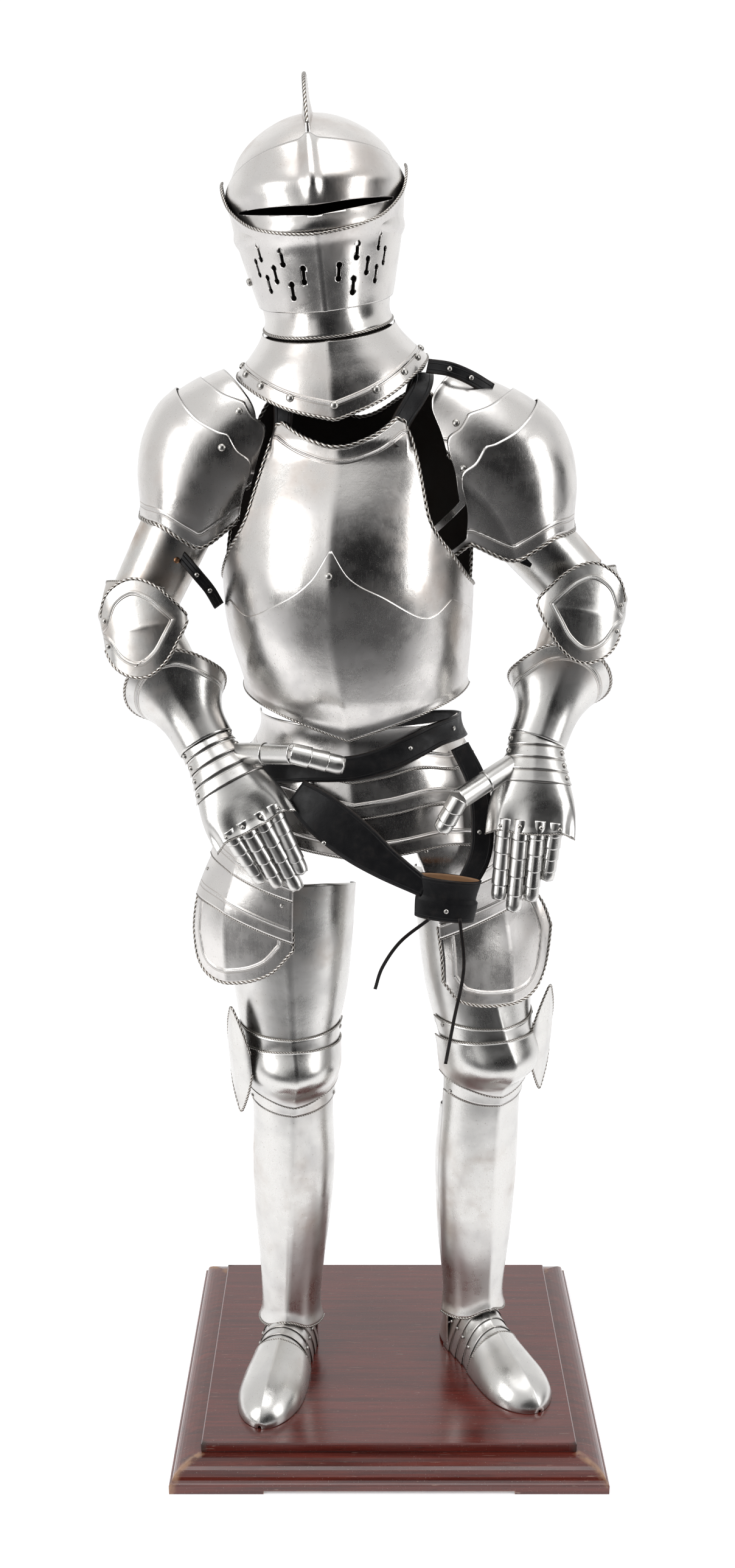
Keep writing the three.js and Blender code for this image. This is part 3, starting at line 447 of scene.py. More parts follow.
def outline(pairs, at):
    """An edge's height at each angle. A third entry in a pair marks a pointed cusp."""
    at = np.asarray(at, float)
    if isinstance(pairs, (int, float)):
        return np.full_like(at, float(pairs))
    result = np.empty_like(at)
    first = 0
    done = np.zeros(at.shape, bool)
    for i in range(1, len(pairs)):
        if len(pairs[i]) == 3 or i == len(pairs) - 1:
            part = pairs[first:i + 1]
            inside = (at <= part[-1][0] + 1e-9) & ~done
            if i == len(pairs) - 1:
                inside = ~done
            result[inside] = smooth([p[0] for p in part], [p[1] for p in part], at[inside])
            done |= inside
            first = i
    return result


class Skin:
    """Elliptical sections stacked along a frame's upward axis, in mm."""

    def __init__(self, place, columns, rows):
        self.place = np.asarray(place)
        self.knots = [row[0] for row in rows]
        self.columns = {name: [row[i] for row in rows] for i, name in enumerate(columns)}

    def column(self, name, height):
        if name not in self.columns:
            return np.zeros_like(height)
        return smooth(self.knots, self.columns[name], height)

    def base(self, angle, height):
        half = self.column("half", height)
        front = self.column("front", height)
        back = self.column("back", height)
        yaw = np.radians(self.column("yaw", height))
        s = np.sin(np.radians(angle))
        c = np.cos(np.radians(angle))
        x = half * s
        y = -np.where(c > 0, front, back) * c
        return np.stack([
            self.column("cx", height) + x * np.cos(yaw) - y * np.sin(yaw),
            self.column("cy", height) + x * np.sin(yaw) + y * np.cos(yaw),
            height,
        ], axis=-1)

    def normal(self, angle, height):
        across = self.base(angle + 0.5, height) - self.base(angle - 0.5, height)
        upward = self.base(angle, height + 1) - self.base(angle, height - 1)
        n = np.cross(across, upward)
        return n / np.maximum(np.linalg.norm(n, axis=-1, keepdims=True), 1e-9)

    def lifted(self, angle, height, out):
        angle = np.asarray(angle, float)
        height = np.asarray(height, float)
        p = self.base(angle, height) + self.normal(angle, height) * np.asarray(out)[..., None]
        return p @ self.place[:3, :3].T + self.place[:3, 3]

    def direction(self, angle, height):
        n = self.normal(np.asarray(float(angle)), np.asarray(float(height)))
        return n @ self.place[:3, :3].T


SECTION = ("height", "cx", "cy", "half", "front", "back", "yaw")
RING = ("height", "half", "front", "back")

ROPES = {}
RIVETS = {}
FORMS = {}


class Piece:
    """Gathers closed sheets and solids into one mesh that stands for one node."""

    def __init__(self, node, material=None, inner=None, slot="polished_steel"):
        self.node = node
        self.materials = [material or STEEL, inner or INSIDE]
        self.slot = slot
        self.points = []
        self.edge = []
        self.faces = []
        self.kinds = []
        self.flat = []
        self.count = 0

    def add(self, points, faces, kinds, flat, edge=None):
        self.points.append(points)
        self.edge.append(np.full(len(points), FAR_FROM_EDGE) if edge is None else edge)
        self.faces.extend([tuple(i + self.count for i in face) for face in faces])
        self.kinds.extend(kinds)
        self.flat.extend(flat)
        self.count += len(points)

    def mesh(self, name):
        points = np.concatenate(self.points) * MM
        data = new_mesh(name, points.tolist(), self.faces)
        for material in self.materials:
            data.materials.append(material)
        data.polygons.foreach_set("material_index", self.kinds)
        data.polygons.foreach_set("use_smooth", [not f for f in self.flat])
        layer = data.attributes.new("edge", "FLOAT", "POINT")
        layer.data.foreach_set("value", np.concatenate(self.edge).astype(np.float32))
        data.update()
        return data

    def build(self, cutters=None):
        name = f"{self.node}_form"
        obj = add_object(name, self.mesh(name))
        if cutters is not None:
            cut_away(obj, cutters)
        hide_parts(self.node)
        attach(obj, body_for(self.node))
        FORMS[self.node] = obj


def cut_away(obj, cutters):
    """Subtracts a mesh of closed cutters."""
    tool = add_object("cutter", cutters)
    modifier = obj.modifiers.new("cut", "BOOLEAN")
    modifier.operation = "DIFFERENCE"
    modifier.solver = "EXACT"
    modifier.object = tool
    settle(obj)
    bpy.data.objects.remove(tool)


def rims(sheet):
    return {"bottom": sheet[0], "top": sheet[-1], "left": sheet[:, 0], "right": sheet[:, -1]}


def plate(piece, skin, start, end, bottom, top, lift=0.0, wall=WALL, flare=0.0, closed=False,
          relief=None, border=(), roped=(), grid=GRID, rope=2.3, border_span=180):
    """A closed sheet cut from a surface between two angles and two edges."""
    middle = (np.mean(outline(bottom, np.linspace(start, end, 9)))
              + np.mean(outline(top, np.linspace(start, end, 9)))) / 2
    arc = skin.lifted(np.linspace(start, end, 40), np.full(40, middle), np.zeros(40))
    length = np.linalg.norm(np.diff(arc, axis=0), axis=1).sum()
    across = max(int(length / grid), 6)
    angles = np.linspace(start, end, across + 1)
    low = outline(bottom, angles)
    high = outline(top, angles)
    up = max(int(np.max(high - low) / grid), 3)
    v = np.linspace(0, 1, up + 1)
    A, V = np.meshgrid(angles, v)
    H = low + (high - low) * V
    out = lift + (flare if isinstance(flare, (int, float)) else outline(flare, V))
    if relief is not None:
        out = out + relief(A, H, V)
    sheets = [skin.lifted(A, H, out), skin.lifted(A, H, out - wall)]
    if closed:
        sheets = [s[:, :-1] for s in sheets]
    rows, cols = sheets[0].shape[:2]
    size = rows * cols
    outer = sheets[0].reshape(-1, 3)
    edges = rims(sheets[0])
    near = np.abs(angles[:cols]) < border_span
    if border:
        rim = np.concatenate([edges[name][near] if name in ("bottom", "top") else edges[name]
                              for name in border])
        distance = np.empty(size)
        for k in range(0, size, 2000):
            gap = outer[k:k + 2000, None] - rim[None]
            distance[k:k + 2000] = np.sqrt((gap ** 2).sum(-1)).min(axis=1)
    else:
        distance = np.full(size, FAR_FROM_EDGE)
    points = np.concatenate([outer, sheets[1].reshape(-1, 3)])
    faces, kinds, flat = sheet_faces(rows, cols, closed)
    piece.add(points, faces, kinds, flat, np.concatenate([distance, np.full(size, FAR_FROM_EDGE)]))
    for name in roped:
        path = (rims(sheets[0])[name] + rims(sheets[1])[name]) / 2
        if closed:
            path = np.concatenate([path, path[:1]])
        ROPES.setdefault((body_for(piece.node), rope), []).append(path)
    return sheets


def plated(node, material, *shape, cutters=None, **details):
    """A node made of one plate."""
    piece = Piece(node, material)
    plate(piece, *shape, **details)
    piece.build(cutters)


def rivet(body, skin, angle, height, out, radius=3.0):
    """A domed rivet head on a surface."""
    point = skin.lifted(angle, height, out)
    RIVETS.setdefault((body, "steel"), []).append((point, skin.direction(angle, height), radius))


def rivet_on(obj, x, z, radius, kind):
    """A rivet head on an object's front, at a place across and up."""
    tree = BVHTree.FromObject(obj, bpy.context.evaluated_depsgraph_get())
    hit, normal, _, _ = tree.ray_cast(Vector((x * MM, -1.0, z * MM)), Vector((0, 1, 0)))
    if hit is not None:
        RIVETS.setdefault(("suit", kind), []).append((np.array(hit) / MM, np.array(normal), radius))


def ridge(width, height, centre=0.0):
    """A medial ridge: raised along one angle, fading to both sides."""
    return lambda a, h, v: height * np.exp(-np.abs(a - centre) / width)


def strap(piece, points, across, widths, thick, divide=10):
    """A flat leather band along points, smoothed, its width held near a direction."""
    path = np.asarray(points, float)
    count = len(path)
    widths = np.asarray(widths if np.ndim(widths) else [widths] * count, float)
    hints = np.asarray(across, float)
    if hints.ndim == 1:
        hints = np.tile(hints, (count, 1))
    knots = np.arange(count)
    at = np.linspace(0, count - 1, (count - 1) * divide + 1)
    spread = np.stack([smooth(knots, path[:, k], at) for k in range(3)], axis=-1)
    wide = smooth(knots, widths, at)
    hint = np.stack([smooth(knots, hints[:, k], at) for k in range(3)], axis=-1)
    run = np.gradient(spread, axis=0)
    run /= np.linalg.norm(run, axis=1, keepdims=True)
    side = hint - run * (hint * run).sum(1, keepdims=True)
    side /= np.linalg.norm(side, axis=1, keepdims=True)
    out = np.cross(side, run)
    cross = 9
    u = np.linspace(-0.5, 0.5, cross)
    points_out = []
    edge = []
    for t in (0.0, thick):
        for k in range(len(at)):
            for w in u:
                points_out.append(spread[k] + side[k] * w * wide[k] + out[k] * t)
                edge.append((0.5 - abs(w)) * wide[k])
    faces, _, flat = sheet_faces(len(at), cross)
    piece.add(np.array(points_out), faces, [0] * len(faces), flat, np.array(edge))


# Plinth.

MOULDING = [(0, 0), (13, 0), (14, 1), (15.5, 3.5), (19, 4.2), (23, 6), (26, 9), (29, 13),
            (31.5, 18), (33.5, 24), (35.2, 31), (36, 38)]
MOULDING_OVERHANG = 41.7
APRON_RISE = 5
APRON_LENGTH = 350
APRON_DEPTH = 15
APRON_OUTSIDE = 9
CORNER_WEAR = 0.4


def box_points(x0, x1, y0, y1, z0, z1, bevel):
    """A box with chamfered upper edges, as rings from below to above."""
    rings = []
    for z, inset in ((z0, bevel * 0.4), (z0 + bevel, 0), (z1 - bevel, 0), (z1, bevel)):
        rings.append([(x0 + inset, y0 + inset, z), (x1 - inset, y0 + inset, z),
                      (x1 - inset, y1 - inset, z), (x0 + inset, y1 - inset, z)])
    return rings


def ring_solid(piece, rings, divide=40):
    """Closed solid from square rings, each side divided for the worn-edge shading."""
    points = []
    edge = []
    for ring in np.array(rings, float):
        for a, b in zip(ring, np.roll(ring, -1, axis=0)):
            for t in np.arange(divide) / divide:
                points.append(a + (b - a) * t)
                edge.append(np.linalg.norm(ring - points[-1], axis=1).min() * CORNER_WEAR)
    faces = ring_faces(len(rings), 4 * divide)
    piece.add(np.array(points), faces, [0] * len(faces), [True] * len(faces), np.array(edge))


board = Piece("plinth_board", WOOD_TOP, slot="varnished_wood")
ring_solid(board, box_points(-BOARD_LENGTH / 2, BOARD_LENGTH / 2, -BOARD_DEPTH / 2,
                             BOARD_DEPTH / 2, BOARD_TOP - BOARD_THICK, BOARD_TOP, 1.6))
board.build()
moulding = Piece("plinth_moulding", WOOD_EDGE, slot="varnished_wood")
outer_x = BOARD_LENGTH / 2 + MOULDING_OVERHANG
outer_y = BOARD_DEPTH / 2 + MOULDING_OVERHANG
ring_solid(moulding, [[(-outer_x + i, -outer_y + i, z), (outer_x - i, -outer_y + i, z),
                       (outer_x - i, outer_y - i, z), (-outer_x + i, outer_y - i, z)]
                      for z, i in MOULDING])


def boxes_mesh(name, boxes):
    points, faces = [], []
    for (x0, x1), (y0, y1), (z0, z1) in boxes:
        n = len(points)
        points += [(x * MM, y * MM, z * MM) for z in (z0, z1) for x, y in
                   ((x0, y0), (x1, y0), (x1, y1), (x0, y1))]
        faces += [tuple(n + i for i in face) for face in ring_faces(2, 4)]
    return new_mesh(name, points, faces)


half = APRON_LENGTH / 2
side = APRON_LENGTH * 0.4
near = (-APRON_OUTSIDE, APRON_DEPTH)
rise = (-APRON_RISE, APRON_RISE)
moulding.build(boxes_mesh("apron", [
    ((-half, half), tuple(-outer_y + d for d in near), rise),
    ((-half, half), tuple(outer_y - d for d in near[::-1]), rise),
    (tuple(-outer_x + d for d in near), (-side, side), rise),
    (tuple(outer_x - d for d in near[::-1]), (-side, side), rise),
]))

# Legs.

WORLD = np.eye(4)
LEG_RIGHT = Skin(WORLD, SECTION, [
    (51, -147, 12, 46, 48, 72, -5),
    (95, -147, 12, 47, 53, 49, -5),
    (130, -147, 10, 45, 49, 46, -5),
    (200, -145, 6, 49, 49, 54, -4),
    (300, -142, 2, 58, 54, 70, -2),
    (380, -140, 0, 61, 57, 72, 0),
    (450, -140, -2, 59, 58, 62, 3),
    (500, -141, -2, 61, 62, 56, 6),
    (545, -143, -3, 66, 84, 54, 8),
    (590, -143, -2, 72, 76, 60, 6),
    (650, -141, 0, 82, 78, 72, 3),
    (720, -140, 2, 88, 82, 80, 0),
    (800, -139, 4, 92, 86, 86, 0),
    (850, -138, 5, 93, 88, 88, 0),
])
LEG_LEFT = Skin(WORLD, SECTION, [
    (51, 128, 8, 46, 48, 72, 27),
    (110, 128, 8, 48, 53, 48, 27),
    (165, 129, 6, 48, 50, 48, 27),
    (250, 130, 2, 56, 54, 62, 26),
    (374, 132, 0, 62, 57, 72, 25),
    (460, 134, -2, 60, 58, 62, 25),
    (515, 136, -2, 61, 62, 57, 25),
    (560, 138, -3, 66, 84, 54, 25),
    (605, 135, -2, 71, 76, 60, 20),
    (660, 130, 0, 78, 70, 72, 14),
    (760, 121, 3, 81, 72, 80, 8),
    (850, 115, 5, 80, 72, 82, 5),
])
LEGS = table(("side", "skin", "knee", "ankle", "outer"), [
    ("right", LEG_RIGHT, 545, 100, -1),
    ("left", LEG_LEFT, 560, 122, 1),
])
for row in LEGS:
    leg, knee, ankle, outer, side = (row[k] for k in ("skin", "knee", "ankle", "outer", "side"))
    plated(f"greave_front_{side}", LIMB_STEEL,
           leg, -92, 92,
           both((92, ankle), (40, ankle + 6), (0, ankle + 20)),
           both((92, knee - 62), (0, knee - 45)),
           relief=ridge(9, 4.5), flare=[(0, 3.5), (0.05, 0.2), (0.5, 0), (1, 0)], roped=("bottom",),
           rope=1.6)
    plated(f"greave_rear_{side}", LIMB_STEEL,
           leg, 86, 274, ankle - 6,
           [(86, knee - 90), (180, knee - 110), (274, knee - 90)], lift=-LAYER - 1, grid=6)
    plated(f"poleyn_lower_lame_{side}", LIMB_STEEL,
           leg, -86, 86, both((86, knee - 60), (0, knee - 74)),
           both((86, knee - 22), (0, knee - 38)), lift=LAYER,
           relief=ridge(8, 3.5), roped=("bottom",), rope=1.2)
    piece = Piece(f"poleyn_cop_{side}", LIMB_STEEL)
    plate(piece, leg, -92, 92,
          both((92, knee - 30), (46, knee - 44), (0, knee - 58)),
          both((92, knee + 26), (0, knee + 34)), lift=2 * LAYER,
          relief=lambda a, h, v, knee=knee: np.cos(np.radians(a * 0.8))
          * (3.0 * np.exp(-np.abs(a) / 10) + 9.0 * np.exp(-((h - knee + 8) / 26.0) ** 2)),
          roped=("bottom", "top"), rope=1.4, grid=3)
    leaf = Skin(frame_from((leg.lifted(outer * 66, knee + 12, 12)), (outer * 0.07, 0, 1),
                           (outer * 0.82, -0.57, 0)), RING,
                both((85, 25, 9, 4), (0, 31, 12, 4)))
    plate(piece, leaf, -78, 78, both((78, -14), (45, -48), (12, -74), (0, -80, 1)),
          both((78, 16), (45, 52), (12, 78), (0, 84, 1)),
          roped=("bottom", "top"), rope=1.9, grid=2.8, relief=ridge(14, 2.0))
    piece.build()
    plated(f"poleyn_upper_lame_{side}", LIMB_STEEL,
           leg, -86, 86, both((86, knee + 20), (0, knee + 22)),
           both((86, knee + 56), (0, knee + 52)), lift=LAYER,
           relief=ridge(8, 3.5), roped=("top",), rope=1.2)
    plated(f"cuisse_{side}", LIMB_STEEL,
           leg, -112, 112, knee + 40,
           [(-112, knee + 265), (-40, knee + 285), (0, knee + 285), (40, knee + 280), (112, knee + 250)],
           relief=lambda a, h, v: 4.5 * np.exp(-np.abs(a) / 8) * np.clip(1.5 - v, 0, 1))
    for angle in (-72, 72):
        for height, out in ((knee - 58, LAYER), (knee - 30, 2 * LAYER), (knee + 14, 2 * LAYER),
                            (knee + 48, LAYER)):
            rivet("suit", leg, angle, height, out, 3.6)

# Feet: instep lames and a rounded toe.
FOOT_RIGHT = [
    (-70, 30, 60, 2), (-30, 41, 96, 2), (26, 43, 86, 2), (54, 43, 70, 2), (83, 46, 59, 2),
    (122, 49, 50, 2), (157, 47, 43, 2), (184, 38, 33, 2), (202, 26, 23, 2), (211, 14, 13, 2),
    (215, 3, 5, 2),
]
FOOT_LEFT = [
    (-70, 30, 60, 2), (-30, 41, 110, 2), (24, 43, 104, 2), (48, 43, 84, 2), (74, 46, 66, 2),
    (109, 49, 52, 2), (140, 48, 43, 2), (165, 40, 33, 2), (181, 27, 23, 2), (190, 14, 13, 2),
    (194, 3, 5, 2),
]
SOLE = BOARD_TOP + 0.4
FEET = table(("side", "rows", "heel", "toe", "lap", "tip"), [
    ("right", FOOT_RIGHT, (-147, 12, SOLE), (-184, -196, SOLE), 84, 215),
    ("left", FOOT_LEFT, (129, 8, SOLE), (218, -160, SOLE), 78, 194),
])
INSTEP_LAMES = 5
for row in FEET:
    foot = Skin(frame_along(row["heel"], row["toe"], (0, 0, 1)), RING, row["rows"])
    side = row["side"]
    piece = Piece(f"sabaton_toe_{side}", LIMB_STEEL)
    lap = row["lap"]
    plate(piece, foot, -90, 90, both((90, lap - 16), (45, lap - 5), (0, lap)),
          row["tip"],
          relief=lambda a, h, v: 2.2 * np.exp(-np.abs(a) / 9) * np.clip(3 - 3 * v, 0, 1), grid=2.6,
          roped=("bottom",), rope=1.3)
    piece.build()
    piece = Piece(f"sabaton_lames_{side}", LIMB_STEEL)
    starts = np.linspace(0, 1, INSTEP_LAMES + 1)
    back_edge = both((90, -16), (45, 10), (0, 24))
    front_edge = lap + 2
    for k in range(INSTEP_LAMES):
        low = [(a, h + (front_edge - h) * starts[k] - (0 if k == 0 else 4)) for a, h in back_edge]
        high = [(a, h + (front_edge - h) * starts[k + 1] + 1) for a, h in back_edge]
        plate(piece, foot, -90, 90, low, high, lift=-LAYER, flare=[(0, -0.8), (0.6, 0.3), (1, 1.5)],
              wall=0.8, relief=ridge(9, 1.6), grid=2.4, border=("top",))
    piece.build()
    for angle in (-62, 62):
        for k in range(INSTEP_LAMES):
            height = -4 + (front_edge + 4) * starts[k] + 8
            rivet("suit", foot, angle, height, -LAYER + 1.0, 3.0)
for row in LEGS:
    side = row["side"]
    plated(f"sabaton_heel_{side}", LIMB_STEEL,
           row["skin"], 88, 272, 55, [(88, 112), (180, 128), (272, 112)],
           lift=-2 * LAYER - 1.8, grid=5)

# Torso.

TORSO = Skin(WORLD, SECTION, [
    (640, -33, 5, 264, 128, 140, 3),
    (780, -33, 5, 262, 132, 140, 2),
    (880, -31, 5, 224, 150, 140, -5),
    (940, -33, 4, 194, 144, 125, -6),
    (1000, -38, 3, 162, 130, 105, -7),
    (1045, -41, 2, 141, 118, 92, -7),
    (1100, -46, 0, 152, 140, 98, -7),
    (1180, -54, -2, 166, 162, 112, -7),
    (1260, -56, -2, 170, 172, 120, -7),
    (1330, -55, 0, 168, 160, 122, -7),
    (1400, -52, 2, 160, 132, 116, -7),
    (1440, -52, 4, 146, 114, 104, -7),
    (1480, -54, 6, 126, 98, 92, -7),
])
BREAST_TOP = [(-90, 1236), (-75, 1252), (-60, 1284), (-45, 1330), (-39, 1390), (-36, 1436), (-30, 1448, 1),
              (-15, 1428), (0, 1419), (15, 1430), (30, 1454, 1), (36, 1440), (39, 1392), (45, 1330),
              (60, 1284), (75, 1252), (90, 1236)]


def breast_relief(a, h, v):
    """A faint medial ridge and a wide band turned out at the neck."""
    medial = 3.0 * np.exp(-np.abs(a) / 6.0)
    neck = np.where(np.abs(a) < 34, np.clip((h - 1402) / 22.0, 0, 1) ** 2 * 7.0, 0.0)
    return medial + neck


plated("breastplate", STEEL,
       TORSO, -90, 90, [(-90, 1106), (-45, 1084), (0, 1050), (45, 1086), (90, 1110)],
       BREAST_TOP, relief=breast_relief, border=("top",), border_span=31, roped=("top",), rope=2.8)
plated("plackart", STEEL,
       TORSO, -88, 88, [(-88, 1098), (-45, 1078), (0, 1042, 1), (45, 1080), (88, 1102)],
       [(-88, 1195), (-60, 1222, 1), (-44, 1206), (-22, 1232), (-8, 1262), (0, 1300, 1), (8, 1264),
        (22, 1240), (44, 1208), (60, 1228, 1), (88, 1200)],
       lift=LAYER - 1.5, relief=ridge(6, 3.0), flare=[(0, 4.0), (0.08, 0.6), (0.5, 0), (1, 0)],
       roped=("bottom",), rope=1.6)
plated("backplate", STEEL,
       TORSO, 86, 274, [(86, 1088), (180, 1050), (274, 1088)],
       [(86, 1240), (100, 1330), (107, 1420), (114, 1474), (145, 1482), (180, 1452), (215, 1482),
        (246, 1474), (253, 1420), (260, 1330), (274, 1240)],
       lift=-LAYER - 1, roped=("top",), rope=2.6, grid=6,
       relief=lambda a, h, v: -5.0 * np.exp(-np.abs(a - 180) / 7.0))

FAULD = table(("name", "low", "high", "layer"), [
    ("fauld_hoop_top", 990, 1058, -1),
    ("fauld_hoop_middle", 942, 1004, -2),
    ("fauld_hoop_bottom", 886, 956, -3),
])
for row in FAULD:
    low = row["low"]
    plated(row["name"], STEEL,
           TORSO, -86, 86,
           both((86, low + 16), (58, low + 6), (36, low + 14), (16, low + 4), (0, low - 4, 1)), row["high"],
           lift=row["layer"] * LAYER - 1, relief=ridge(6, 2.6), border=("bottom",),
           flare=[(0, 1.5), (0.2, 0.2), (1, 0)], roped=("bottom",), rope=1.3)

TASSETS = table(("side", "start", "end", "main", "upper", "lower", "flares"), [
    ("right", -80, -24,
     [(-80, 748), (-74, 706), (-60, 682), (-45, 684), (-32, 704), (-24, 740)],
     [(-80, 858), (-60, 850), (-45, 836), (-24, 812)],
     [(-80, 800), (-60, 792), (-45, 776), (-24, 750)], False),
    ("left", 22, 76,
     [(22, 700), (28, 668), (45, 652), (60, 658), (70, 690), (76, 748)],
     [(22, 812), (45, 836), (60, 850), (76, 858)],
     [(22, 756), (45, 782), (60, 796), (76, 800)], True),
])
for row in TASSETS:
    side, start, end = row["side"], row["start"], row["end"]
    centre = (start + end) / 2
    plated(f"tasset_lame_upper_{side}", STEEL,
           TORSO, start, end, row["upper"], 914, lift=-4 * LAYER - 1.8,
           border=("bottom",), relief=ridge(4, 1.6, centre), roped=("bottom",), rope=1.2)
    plated(f"tasset_lame_lower_{side}", STEEL,
           TORSO, start, end, row["lower"], raised(row["upper"], 16),
           lift=-5 * LAYER - 2.2, border=("bottom",), relief=ridge(4, 1.6, centre),
           flare=[(0, 5), (0.75, 0), (1, 0)] if row["flares"] else 0.0, roped=("bottom",), rope=1.2)
    plated(f"tasset_main_{side}", STEEL,
           TORSO, start, end, row["main"], raised(row["lower"], 16),
           lift=-6 * LAYER - 2.6, border=("bottom", "left", "right"), relief=ridge(4, 1.8, centre),
           flare=[(0, 24), (0.5, 14), (0.85, 3.4), (1, 1)] if row["flares"] else 0.0,
           roped=("bottom", "left", "right"), rope=2.4)
    inset = 4
    for angle in (start + inset, end - inset):
        rivet("suit", TORSO, angle, 893, -4 * LAYER - 1.8, 2.8)
        rivet("suit", TORSO, angle, 838 if abs(angle) > 40 else 806, -5 * LAYER - 2.0, 2.8)

# Belt and hanger.

BELT_LINE = [(-180, 1012), (-90, 985), (-41, 992), (-21, 1000), (2, 1006), (17, 1016),
             (40, 1034), (57, 1043), (85, 1042), (120, 1034), (180, 1012)]
BELT_WIDTH = 32
piece = Piece("belt", BLACK_LEATHER, BLACK_LEATHER, "dark_leather")
plate(piece, TORSO, -180, 180, [(a, h - BELT_WIDTH / 2) for a, h in BELT_LINE],
      [(a, h + BELT_WIDTH / 2) for a, h in BELT_LINE], lift=0.9, wall=LEATHER, closed=True,
      border=("bottom", "top"))
piece.build()
for angle in (-52, -12, 33, 70):
    rivet("suit", TORSO, angle, float(outline(BELT_LINE, [angle])[0]), 1.2, 3.4)
HANGER = table(("x", "y", "z", "wide"), [
    (-126, -120, 972, 40), (-92, -142, 948, 58), (-46, -155, 914, 58), (-6, -160, 884, 44),
    (46, -160, 850, 26),
])
HIP_STRAP = table(("x", "y", "z", "wide"), [
    (94, -74.4, 1024, 26), (116, -92.4, 980, 28), (124, -110, 930, 30), (120, -126, 884, 30),
    (98, -143, 844, 26),
])
piece = Piece("sword_frog", BLACK_LEATHER, TAN_LEATHER, "dark_leather")
for rows, across in ((HANGER, (0.55, 0, 0.83)), (HIP_STRAP, (1, 0, 0))):
    strap(piece, [(r["x"], r["y"], r["z"]) for r in rows], across, [r["wide"] for r in rows], LEATHER)
LOOP = Skin(frame_from((72, -152, 806), (0.12, 0, 1), (0, -1, 0)), RING, [
    (0, 40, 15, 13), (27, 42, 16, 14), (31, 39, 14, 12), (58, 43, 17, 15),
])
plate(piece, LOOP, -180, 180, 0, 58, wall=LEATHER, closed=True, border=("bottom", "top"), grid=3)
THONG_WIDTH = 4.5
THONG_THICK = 1.6
THONGS = [
    [(52, -171, 812), (14, -176, 782), (-10, -172, 744), (-20, -166, 710)],
    [(92, -170, 812), (98, -176, 744), (86, -174, 668), (76, -166, 601)],
]
for points in THONGS:
    strap(piece, points, (1, 0, 0), THONG_WIDTH, THONG_THICK)
piece.build()

# Collar and helm.

HEAD_ROLL = math.radians(5.5)
HEAD = frame_from((-80, 0, 1560), (-math.sin(HEAD_ROLL), 0, math.cos(HEAD_ROLL)), (0, -1, 0))
COLLAR = Skin(HEAD, RING, [
    (-110, 138, 128, 118), (-62, 133, 120, 114), (-38, 124, 113, 108), (-20, 107, 108, 99),
    (0, 91, 103, 90), (25, 80, 100, 84),
])
HELM = Skin(HEAD, RING, [
    (-15, 92, 105, 92), (20, 79, 107, 88), (60, 87, 116, 96), (100, 97, 126, 106),
    (140, 105, 131, 114), (185, 108, 125, 117), (215, 98, 108, 106), (235, 82, 86, 90),
    (250, 62, 64, 68), (260, 42, 43, 46), (266, 24, 24, 26), (269, 7, 7, 7),
])
TURN_HEIGHT = 10
TURN_SLOPE = 0.18


def turning_edge(front, back, gap, start=-180, end=180):
    """Heights where a tube meets the sloping plane that the helm turns on."""
    pairs = []
    for angle in range(start, end + 1, 15):
        c = math.cos(math.radians(angle))
        y = -(front if c > 0 else back) * c
        pairs.append((angle, TURN_HEIGHT + TURN_SLOPE * y + gap))
    return pairs


plated("collar_front", HELM_STEEL,
       COLLAR, -90, 90, both((90, -38), (60, -54), (25, -88), (0, -106, 1)),
       turning_edge(103, 88, -0.3, -90, 90), border=("bottom",), relief=ridge(6, 3.0),
       roped=("bottom",), rope=2.2, grid=3.6)
for angle, height in ((-84, -30), (-62, -40), (-44, -56), (-24, -74), (24, -74), (44, -56),
                      (62, -40), (84, -30), (0, -88)):
    rivet("suit", COLLAR, angle, height, 0.8 if angle else 3.6, 5.2)
plated("collar_back", HELM_STEEL,
       COLLAR, 86, 274, [(86, -36), (180, -95), (274, -36)],
       [(86, 4), (180, 16), (274, 4)], lift=-LAYER - 1, roped=("bottom",), rope=2.0)

COMB = [(-90, 246), (-83, 258), (-74, 270), (-60, 285), (-44, 298), (-28, 307), (-8, 313),
        (12, 317), (32, 316), (52, 310), (72, 297), (88, 280), (98, 262), (104, 245)]
BLADE_POINTS = 9
piece = Piece("helm_skull", HELM_STEEL)
plate(piece, HELM, -180, 180,
      both((180, 40), (112, 50), (98, 90), (90, 140), (60, 166)),
      269, closed=True, grid=4)
crown = HELM.lifted(np.linspace(-180, 180, 33)[:-1], np.full(32, 268.6), np.full(32, 0.2))
below = HELM.lifted(np.linspace(-180, 180, 33)[:-1], np.full(32, 266.6), np.full(32, -1.0))
piece.add(np.concatenate([crown, below]),
          [tuple(range(32)), tuple(range(32, 64))[::-1]]
          + [(i + 32, (i + 1) % 32 + 32, (i + 1) % 32, i) for i in range(32)],
          [0] * 34, [False] * 34)
# The comb stands on the skull's middle line: a thin blade with a rounded crest.
foot_line = []
for y, z in COMB:
    foot_line.append((y * 0.9, min(max(z - 40, 200), 262)))
blade = []
for (y, z), (fy, fz) in zip(COMB, foot_line):
    for x, dz, dy in ((-2.6, 0, 0), (-1.8, 2.0, 0.4), (0, 3.0, 0.6), (1.8, 2.0, 0.4), (2.6, 0, 0)):
        blade.append((x, y + (dy if y > 0 else -dy), z + dz - 2.0))
    for across, up in ((3.4, 0.5), (7.5, 1.0), (-7.5, 1.0), (-3.4, 0.5)):
        blade.append((across, y + (fy - y) * up, z + (fz - z) * up))
blade_faces = ring_faces(len(COMB), BLADE_POINTS)
blade = np.array(blade, float) @ HEAD[:3, :3].T + HEAD[:3, 3]
piece.add(blade, blade_faces, [0] * len(blade_faces), [False] * len(blade_faces))
piece.build()
crest = np.array([(0, y, z + 0.6) for y, z in COMB], float) @ HEAD[:3, :3].T + HEAD[:3, 3]
